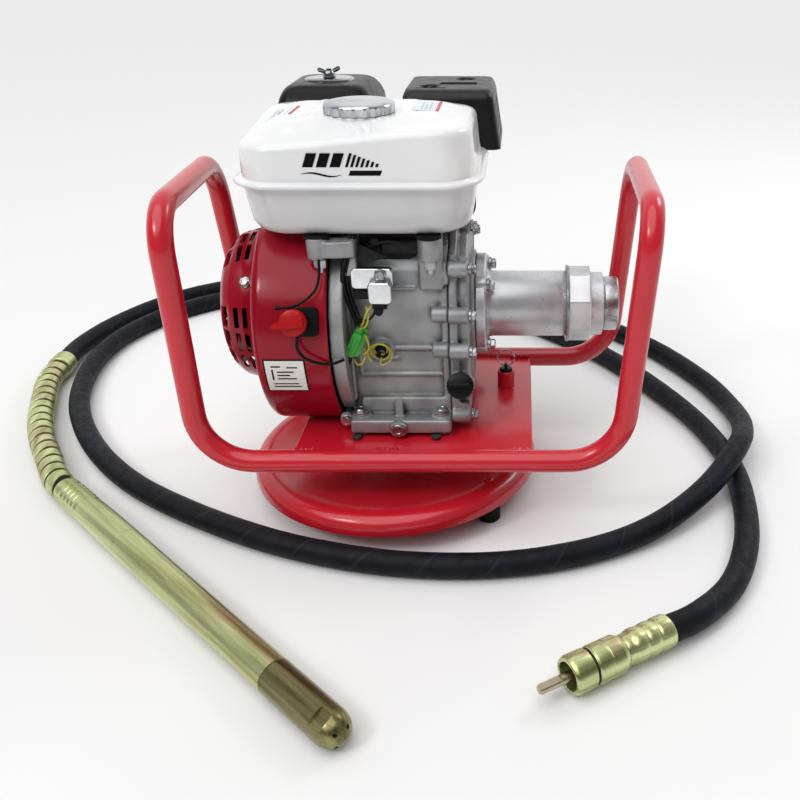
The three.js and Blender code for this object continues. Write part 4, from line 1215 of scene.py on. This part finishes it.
def make_tank():
    def wall(z, left, right, front, back, corner):
        return raised(resampled(rounded_rectangle(left, right, front, back, corner, 10)), z)

    def shoulder(inset, drop):
        corner = max(10, 34 - 0.5 * inset)
        outline = rounded_rectangle(TANK["left"] + inset, TANK["right"] - inset, TANK["front"] + inset,
                                    TANK["back"] - inset, corner, 10)
        return [Vector((p.x, p.y, tank_top(p.x, p.y, inset) - drop)) for p in resampled(outline)]

    lower = [(298.6, -118, 34, -42, 68, 22), (298.9, -129, 44, -52, 78, 26),
             (300.4, -136, 51.5, -59, 84, 30), (303.6, -141, 56.6, -63.6, 88.4, 33),
             (309, -144.4, 60, -66.4, 91, 34), (328, -147.6, 63.4, -69.6, 94, 36),
             (344.4, -149, 65, -71, 95, 36)]
    flange = [(345, -152, 68, -73.6, 97.6, 38), (345.3, -156, 72, -77.2, 101.2, 41),
              (347.2, -157, 73, -78, 102, 42), (349, -156, 72, -77.2, 101.2, 41),
              (349.6, -152, 68, -73.6, 97.6, 38)]
    upper = [(350.6, -149.6, 65.4, -71.4, 95.4, 36), (362, -149.2, 63.8, -71.2, 95.2, 35.6)]
    loops = [wall(*level) for level in lower + flange + upper]
    for inset, drop in ((0, 9), (0.3, 6.4), (1.3, 3.6), (3.2, 1.4), (6, 0.3), (9, 0)):
        loops.append(shoulder(inset, drop))
    loops += [shoulder(12 + 3 * k, 0) for k in range(20)]
    tank = Shape(stacked(loops))
    seat = [(20, 396), (31, 396), (31, 399.8), (30.4, 400.3), (20, 400.3), (20, 396)]
    tank.add(turned(seat, 72), at(*CAP))
    piece("tank_shell", tank, WHITE, "carry_frame", ["fuel_tank"], sharp=62)
    pads = Shape()
    for x in (-82, 21):
        pads.add(rod(12, 297.5, 300, 0.5, 32), at(x, -62, 0))
    piece("tank_rubber_pads", pads, RUBBER, "carry_frame")


def make_fuel_cap():
    """The tank's cap, with twenty lugs round its rim."""
    ribs = []
    for k in range(160):
        angle = math.tau * k / 160
        ribs.append((math.cos(angle), math.sin(angle), smooth(math.cos(20 * angle), -0.35, 0.35)))
    levels = [(400.5, 30.6, 0.9), (401.1, 31.2, 1.5), (406.2, 31.2, 1.5), (407.4, 31.6, 1.0),
              (408.0, 32.4, 0.1), (409.2, 31.8, 0), (410.2, 29.6, 0), (410.7, 27, 0), (410.9, 22, 0),
              (411, 12, 0)]
    cap = Shape(stacked([[Vector((x * (r + lug * share), y * (r + lug * share), z)) for x, y, lug in ribs]
                         for z, r, share in levels]), at(*CAP))
    cap.add(rod(19.6, 386.4, 401, 0.6, 48), at(*CAP))
    piece("tank_cap", cap, CHROME, "fuel_cap", ["fuel_cap"], sharp=40)


def make_tank_marks():
    """A plain generic mark on the front of the tank, and blank labels where the real ones are."""
    front = facing_front(-50, -71.2, 366)
    mark = Shape()
    for left, right in ((-36, -27), (-24, -15), (-12, -3)):
        mark.add(prism([(left, -2), (right, -2), (right + 4.6, 10), (left + 4.6, 10)], 0, 0.35), front)
    for k in range(7):
        left = 1.6 + 4.4 * k
        high = 10 - 1.5 * k
        lean = (high + 2) * 0.38
        bar = [(left, -2), (left + 2.4, -2), (left + 2.4 + lean, high), (left + lean, high)]
        mark.add(prism(bar, 0, 0.35), front)
    wave = [Vector((-38 + 1.9 * k, -8 + 1.6 * math.sin(k / 3.2))) for k in range(20)]
    edge = [Vector((p.x, p.y - 1.5 * math.sin(math.pi * k / 19) - 0.2)) for k, p in enumerate(wave)]
    mark.add(prism(wave + edge[::-1], 0, 0.3), front)
    mark.add(prism([(4, -9.4), (32, -9.4), (34, -5), (6, -5)], 0, 0.35), front)
    piece("tank_mark", mark, DECAL_BLACK, "carry_frame")

    labels = (
        ("tank_labels", LABEL_BLUE, ((4, 25, 2, 48, 0.25), (-128, -110, -18, 22, 0.25))),
        ("tank_label_lines", LABEL_RED, ((26.4, 29.2, 0, 50, 0.4), (-107, -104.4, -16, 26, 0.4))),
        ("tank_label_marks", LABEL_GREY, (
            (7, 9, 8, 42, 0.42), (11.4, 13, 8, 42, 0.42), (15.6, 17, 8, 34, 0.42),
            (19.4, 21, 8, 42, 0.42), (-124, -122, -12, 16, 0.42), (-118, -116.4, -12, 10, 0.42),
        )),
    )
    for name, material, spots in labels:
        sheet = Shape()
        for x0, x1, y0, y1, lift in spots:
            sheet.add(laid_on_tank(x0, x1, y0, y1, lift))
        piece(name, sheet, material, "carry_frame")


def make_drum_label():
    sign, edge_line, glyphs = Shape(), Shape(), Shape()
    sign.add(curved_label(18.4, 17.4, SHROUD_R + 0.5))
    edge_line.add(curved_label(19.9, 18.9, SHROUD_R + 0.3))
    for u0, u1, v0, v1 in ((-13, 13, -13, -11.6), (-13, 11, -9.4, -8.2), (-13, -11.4, -4, 8),
                           (-8, 8, 4.6, 6), (-8, 4, 0.8, 2.2), (-8, 10, -3.2, -1.8), (2, 12, 9.6, 11),
                           (-13, -4, 10.4, 12)):
        half_wide, half_high = (u1 - u0) / 2, (v1 - v0) / 2
        glyphs.add(curved_label(half_wide, half_high, SHROUD_R + 0.65, (u0 + u1) / 2, (v0 + v1) / 2))
    piece("drum_label", sign, LABEL_WHITE, "carry_frame")
    piece("drum_label_edge", edge_line, DECAL_BLACK, "carry_frame")
    piece("drum_label_marks", glyphs, DECAL_BLACK, "carry_frame")


def laid_on_tank(x0, x1, y0, y1, lift):
    """A thin rectangle that follows the tank's top, lift above it."""
    steps, thickness = 8, 0.5
    section = [(x0, lift - thickness), (x1, lift - thickness), (x1, lift), ((x0 + x1) / 2, lift),
               (x0, lift)]
    places = [y0 + (y1 - y0) * k / steps for k in range(steps + 1)]
    return stacked([[(x, y, tank_top(x, y) + high) for x, high in section] for y in places])


def curved_label(half_wide, half_high, radius, u=0.0, v=0.0):
    """A thin rectangle bent round the fan drum, u along X and v up its front from the label's middle."""
    steps, thickness = max(2, round(half_high)), 0.3
    section = [(-half_wide, radius - thickness), (half_wide, radius - thickness), (half_wide, radius),
               (-half_wide, radius)]
    rings = []
    for k in range(steps + 1):
        angle = math.pi - (v - LABEL_DROP + half_high * (2 * k / steps - 1)) / SHROUD_R
        across, up = math.cos(angle), math.sin(angle)
        rings.append([(LABEL_X + u + x, SHROUD_Y + r * across, SHROUD_Z + r * up) for x, r in section])
    return stacked(rings)


# ---------------------------------------------------------------- air cleaner and muffler guard
def make_cleaner():
    def loop(z, inset, lean=0.0):
        left, right = -153 + inset + lean * 3, -50 - inset - lean * 6
        front, back = 115 + inset + lean * 6, 231 - inset - lean * 3
        return raised(rounded_rectangle(left, right, front, back, 13, 8), z)

    levels = [(340.4, 0.8, 0), (341, 0, 0), (346, 0, 0), (346.6, 0.7, 0), (348, 0.7, 0), (348.6, 0, 0),
              (376, 0, 0), (384, 0.4, 0.1), (391, 1.6, 0.4), (396.4, 3.6, 0.7), (399.8, 6, 0.9),
              (401.8, 9, 1.0), (402.8, 13, 1.0), (403, 18, 1.0)]
    cover = Shape(stacked([loop(*level) for level in levels]))
    hollow = stacked([loop(z, inset + 3, lean) for z, inset, lean in
                      ((335, 0, 0), (376, 0, 0), (391, 2, 0.4), (399, 9, 1.0))])
    cover.cut(hollow, bore(3.6, 380, 420, 24, at(*STUD, 0)))
    piece("cleaner_lid", cover, CLEANER_BLACK, "air_cleaner_cover", ["air_cleaner_cover"],
          sharp=50)

    plate = Shape()
    oval = [Vector((27 * math.cos(a), 22 * math.sin(a))) for a in (math.tau * k / 64 for k in range(64))]
    plate.add(scaled_stack(oval, (403.0, 1), (404.2, 0.99), (405, 0.93), (405.2, 0.86)), at(*STUD, 0))
    plate.cut(bore(3.6, 380, 420, 24, at(*STUD, 0)))
    piece("cleaner_plate", plate, CHROME, "air_cleaner_cover")

    hub = [(3.4, 405.4), (7, 405.4), (6.2, 410), (4.6, 412.6), (3.4, 412.6)]
    ear = [(4.4, -2.6), (12.6, 0.4), (13.4, 3.4), (11, 4.8), (6, 2.6), (4, 1.6)]
    nut = Shape(lathe_ring(hub, 0.5, 32), at(*STUD, 0))
    for side in (0, 1):
        wing = prism(eased(ear, 1.4, 3, True), -1.1, 1.1, 0.5)
        turn = Matrix.Rotation(0.6 + math.pi * side, 4, "Z")
        nut.add(wing, at(*STUD, 411.4) @ turn @ spun(90, "X"))
    piece("cleaner_nut", nut, CHROME, "wing_nut", ["cleaner_wing_nut"])


def make_guard():
    """The muffler's pressed cover, with two dimples in its top and slots in its right wall."""
    def loops(inset):
        levels = [(340, -21, 84, 109.5, 226), (366, -20, 80.4, 110.6, 225), (389, -19.2, 77.4, 111.8, 224),
                  (393.2, -18.6, 76.4, 113, 223.4), (396.4, -17.4, 74.8, 116, 222.8),
                  (398.8, -16.4, 73.4, 120, 222.2), (399.8, -15.4, 71.6, 124, 221),
                  (400, -12, 68, 128, 218)]
        made = []
        for z, left, right, front, back in levels:
            outline = rounded_rectangle(left + inset, right - inset, front + inset, back - inset, 9, 6)
            made.append(raised(outline, z - inset))
        return made

    shell = Shape(stacked(loops(0)))
    hollow = loops(1.8)
    shell.cut(stacked([raised(hollow[0], hollow[0][0].z - 8), *hollow]))
    holes = []
    for row in range(4):
        for column in range(9):
            spot = facing_drive(70, 122 + 11.4 * column + 5.7 * (row % 2), 349 + 10.6 * row)
            slot = prism(rounded_rectangle(-2.6, 2.6, -4.4, 4.4, 2.4, 4), 0, 24)
            holes.append(placed(slot, spot @ spun(-22)))
    shell.cut(*holes)
    screw_spots = ((8, 146), (44, 198))
    dimple = [(0, 396.6), (6, 396.6), (9, 398), (12.5, 400.6), (12.5, 403), (0, 403)]
    dimples = [placed(turned(dimple, 40), at(x, y, 0)) for x, y in screw_spots]
    dimples.append(bevelled(block(18, 58, 150, 172, 398.6, 404, 0), 1.2, 2))
    dimples.append(bevelled(block(-6, 26, 131, 135, 398.8, 404, 0), 0.8, 2))
    shell.cut(*dimples)
    piece("muffler_shield", shell, GUARD_GREY, "carry_frame", ["muffler_guard"], sharp=35)
    screws = Shape()
    for x, y in screw_spots:
        bolt(screws, at(x, y, 396.6), 6.4, 2.4, 0)
    piece("shield_screws", screws, IRON, "carry_frame")


def make_muffler():
    can = Shape(prism(rounded_rectangle(-12, 60, 118, 216, 16, 6), 322, 392, 2.5))
    can.add(rod(31, 352, 356, 0.5, 8), at(24, 167, 0))
    can.add(wire([(24, 150, 262), (34, 150, 262), (40, 150, 263), (43.4, 150, 267), (44, 150, 274),
                  (44, 150, 300), (44, 150, 326)], 10.5, 24))
    piece("muffler_can", can, IRON, "carry_frame", ["muffler"], sharp=50)


# ---------------------------------------------------------------- electrics
# Local X and Y run along design X and Z, and local Z is the distance in front of the middle.
FRONT_SHEET = Matrix(((1, 0, 0, 0), (0, 0, -1, 0), (0, 1, 0, 0), (0, 0, 0, 1)))


def make_alarm_unit():
    body = Shape()
    body.add(prism(rounded_rectangle(-53, -14, 250, 269.6, 4, 5), 61, 69, 1.4, 3), FRONT_SHEET)
    body.add(prism(rounded_rectangle(-36.5, -14.6, 238.4, 259.4, 4, 5), 61.4, 80, 2.2, 3), FRONT_SHEET)
    piece("oil_alarm_unit", body, BRIGHT_STEEL, "carry_frame", ["ignition_unit"])
    screw = Shape()
    bolt(screw, facing_front(-25, -69, 264.5), 8, 3.6, 11)
    piece("alarm_screw", screw, ZINC, "carry_frame")
    clamp = Shape()
    clamp.add(block(-52, -37, -70, -58, 240, 249.6, 1.6))
    clamp.add(block(-34, -20, -76, -64, 232, 238.2, 1.6))
    clamp.add(prism(circle(4.2, 24), -3, 3, 0.8), facing_front(-28, -74, 230))
    strap = [(-52, -60, 297), (-54, -66, 288), (-57, -69, 278), (-60, -68, 266), (-61, -66, 252),
             (-58, -67, 238), (-53, -69, 224), (-50, -70, 214)]
    clamp.add(wire(strap, 2.3, 12))
    clamp.add(wire([(p[0] + 3.6, p[1] + 1, p[2] + 2) for p in strap], 1.6, 12))
    piece("lead_clamp", clamp, BLACK_PLASTIC, "carry_frame")


def make_switch():
    lean = at(-102, SHROUD_Y, SHROUD_Z) @ Matrix.Rotation(-0.3, 4, "X")
    face = lean @ facing_front(0, -SHROUD_R, 0)
    box = Shape(prism(rounded_rectangle(-8, 20.5, -13.6, 13.6, 4.4, 4), -1.2, 8, 1.6, 3), face)
    box.add(rod(9.4, 6, 11, 0.8, 32), face)
    piece("switch_box", box, BLACK_PLASTIC, "carry_frame", ["switch_housing"])
    knob = Shape()
    rim = []
    for k, p in enumerate(circle(12.4, 44)):
        rib = 1 + 0.025 * (k % 2)
        rim.append(Vector((p.x * rib, p.y * rib)))
    knob.add(scaled_stack(rim, (11.4, 0.96), (12, 1), (18, 1), (19.4, 0.95), (20, 0.86)), face)
    pointer = [(-18.4, -1.6), (-18.4, 1.6), (-9, 4.0), (11, 4.6), (11, -4.6), (-9, -4.0)]
    knob.add(prism(eased(pointer, 1.6, 3, True), 13, 24, 1.4, 3), face @ spun(9))
    piece("switch_dial", knob, KNOB_RED, "switch_knob", ["switch_knob"])


def make_leads():
    black, yellow, green = Shape(), Shape(), Shape()
    for radius, route in (
        (1.3, [(-79, -76, 281), (-79, -82, 268), (-82, -88, 257), (-92, -94, 248), (-104, -97.6, 243.6),
               (-114, -99, 243)]),
        (2.2, [(-114, -99, 243), (-118, -99.6, 243.4)]),
        (1.5, [(-100, -103.4, 216), (-101, -105, 205), (-96, -104.6, 196), (-84, -101.6, 189),
               (-72, -97, 186), (-62, -90, 187)]),
        (1.3, [(-30, -73, 234), (-34, -76, 226), (-40, -77, 222), (-46, -75, 224), (-50, -72, 230)]),
    ):
        black.add(wire(route, radius))
    piece("black_wires", black, INSULATION, "carry_frame", ["switch_lead"])
    for route in ([(-57, -70, 180), (-53, -75, 175), (-48, -76, 176), (-45, -72, 182)],
                  [(-47, -73, 212), (-43, -77, 220), (-39, -78, 230), (-34, -74, 236)],
                  [(-48, -74, 211), (-41, -78, 216), (-38, -77, 226), (-40, -73, 234)],
                  [(-43, -74, 206), (-40, -76, 196), (-42, -74, 188), (-47, -72, 184)]):
        yellow.add(wire(route, 1.0))
    for turn in range(3):
        radius = 6.6 + 2.6 * turn
        loop = []
        for a in (0.5 * k - 1.6 for k in range(12)):
            across, up = math.cos(a), math.sin(a)
            loop.append((-31 + radius * across, -64 - 3.2 * turn - 2 * up, 186 + radius * up - 1.4 * turn))
        yellow.add(wire([(-29, -58, 181), *loop, (-46, -71, 189 + turn)], 0.9, 8, 4))
    piece("yellow_wires", yellow, LEAD_YELLOW, "carry_frame", ["sensor_lead"])
    for shift, high in ((5, -1), (0, 0)):
        tilt = facing_front(-54.5 + shift, -71.6 + 0.2 * shift, 197 + high) @ spun(-26)
        green.add(prism(rounded_rectangle(-4.4, 4.4, -14, 12, 1.6, 3), -3, 5.6 - 0.5 * shift, 0.7), tilt)
        green.add(prism(rounded_rectangle(-3.2, 3.2, 12, 16.6, 1.2, 3), -1, 4.0 - 0.5 * shift, 0.5), tilt)
    green.add(block(-1.4, 1.4, -8, 8, 5.4, 6.6, 0.4), tilt)
    piece("wire_connector", green, CONNECTOR_GREEN, "carry_frame")
    place = facing_front(-60.5, -70, 184.4) @ spun(66) @ spun(-90, "Y")
    piece("wire_sleeve", Shape(rod(4.6, 0, 12, 0.8, 20), place), INSULATION, "carry_frame")
    lip = [(3, 0), (8, 0), (8, 2), (5.4, 4), (3, 4)]
    grommet = Shape(lathe_ring(lip, 0.6, 32), facing_front(-30, -59.5, 182))
    piece("lead_grommet", grommet, RUBBER, "carry_frame")


# ---------------------------------------------------------------- the rest of the engine
def dress_cad():
    for node, finish in {"cylinder_and_head": ALUMINIUM, "rocker_cover": ZINC, "spark_plug_cap": RUBBER,
                         "carburettor": ALUMINIUM, "throttle_lever": ZINC, "choke_lever": BLACK_PLASTIC,
                         "fuel_valve_lever": KNOB_RED, "air_cleaner_base": BLACK_PLASTIC,
                         "air_filter_element": FELT, "starter_pulley": BLACK_PLASTIC, "flywheel_fan": IRON,
                         "crankshaft": ZINC, "eccentric_rotor": ZINC,}.items():
        dress(node, finish)


def make_tank_brackets():
    """The black governor plates and links that show in the gap under the tank. The plate is in the shade
    black: a governor plate that is also painted shade in that gap.
    """
    plate = Shape()
    plate.add(prism([(-46, 262), (-20, 262), (6, 274), (8, 297), (-46, 297)], 44, 46.5, 0.4), FRONT_SHEET)
    plate.add(block(-24, 10, -56, -46, 280, 291, 1.0))
    # Painted shade: the plate's matte black stands for the shade in the gap under the tank.
    piece("governor_shade_plate", plate, SHADE, "carry_frame")
    arm = Shape()
    arm.add(prism(eased([(-46, 270), (-18, 279), (-44, 291)], 2, 3, True), 60, 62, 0.5), FRONT_SHEET)
    arm.add(rod(4.4, 0, 4, 0.6, 24), facing_front(-30, -52, 291))
    arm.add(wire([(-40, -54, 284), (-20, -57, 292), (4, -55, 289), (30, -52, 291)], 1.2, 12))
    piece("governor_arm", arm, BLACK_PAINT, "carry_frame")
    bolts = Shape()
    for x, y, z in ((-80, -67, 279), (21, -63, 276)):
        bolts.add(hexagon(11, 0, 8, 0.6), at(x, y, z) @ UPSIDE_DOWN)
        bolts.add(rod(3.4, 0, 13, 0.6, 20), at(x, y, z) @ UPSIDE_DOWN)
    piece("tank_bolts", bolts, ZINC, "carry_frame")


# ---------------------------------------------------------------- studio
def make_studio():
    floor_mesh = bpy.data.meshes.new("floor")
    floor_mesh.from_pydata([(-12, -9, 0), (12, -9, 0), (12, 16, 0), (-12, 16, 0)], [], [(0, 1, 2, 3)])
    floor = bpy.data.objects.new("floor", floor_mesh)
    bpy.context.scene.collection.objects.link(floor)
    ground = Finish("studio_floor")
    ground.shader.inputs["Base Color"].default_value = (0.82, 0.82, 0.82, 1)
    ground.shader.inputs["Roughness"].default_value = 0.8
    ground.shader.inputs["Specular IOR Level"].default_value = 0.1
    floor_mesh.materials.append(ground.material)

    world = bpy.data.worlds.new("studio")
    bpy.context.scene.world = world
    world.use_nodes = True
    tree = world.node_tree
    place = tree.nodes.new("ShaderNodeTexCoord")
    split = tree.nodes.new("ShaderNodeSeparateXYZ")
    ramp = tree.nodes.new("ShaderNodeMapRange")
    ramp.interpolation_type = "SMOOTHSTEP"
    ramp.inputs["From Min"].default_value = -0.3
    ramp.inputs["From Max"].default_value = 0.8
    ramp.inputs["To Min"].default_value = 0.2
    ramp.inputs["To Max"].default_value = 0.95
    background = tree.nodes["Background"]
    tree.links.new(place.outputs["Generated"], split.inputs["Vector"])
    tree.links.new(split.outputs["Y"], ramp.inputs["Value"])
    tree.links.new(ramp.outputs["Result"], background.inputs["Strength"])
    background.inputs["Color"].default_value = (1, 1, 1, 1)

    def lamp(name, kind, place, energy, **settings):
        data = bpy.data.lights.new(name, kind)
        data.energy = energy
        for key, value in settings.items():
            setattr(data, key, value)
        light = bpy.data.objects.new(name, data)
        light.location = place
        light.rotation_euler = (Vector((0, 0, 0.2)) - Vector(place)).to_track_quat("-Z", "Y").to_euler()
        bpy.context.scene.collection.objects.link(light)

    lamp("overhead", "SUN", (-0.5, -0.9, 2.6), 1.9, angle=1.2)
    lamp("key", "AREA", (-1.3, -1.5, 1.9), 11, shape="DISK", size=0.5)
    lamp("rim", "AREA", (1.4, 1.0, 1.6), 7, shape="DISK", size=0.7)
    bpy.context.scene.view_settings.view_transform = "Standard"


make_camera()
make_shaft()
make_base()
make_frame()
make_crankcase()
make_foot_fasteners()
make_side_cover()
make_adapter()
make_shroud()
make_starter_cover()
make_starter_pull()
make_tank()
make_fuel_cap()
make_tank_marks()
make_drum_label()
make_cleaner()
make_guard()
make_muffler()
make_alarm_unit()
make_switch()
make_leads()
make_tank_brackets()
dress_cad()
make_studio()
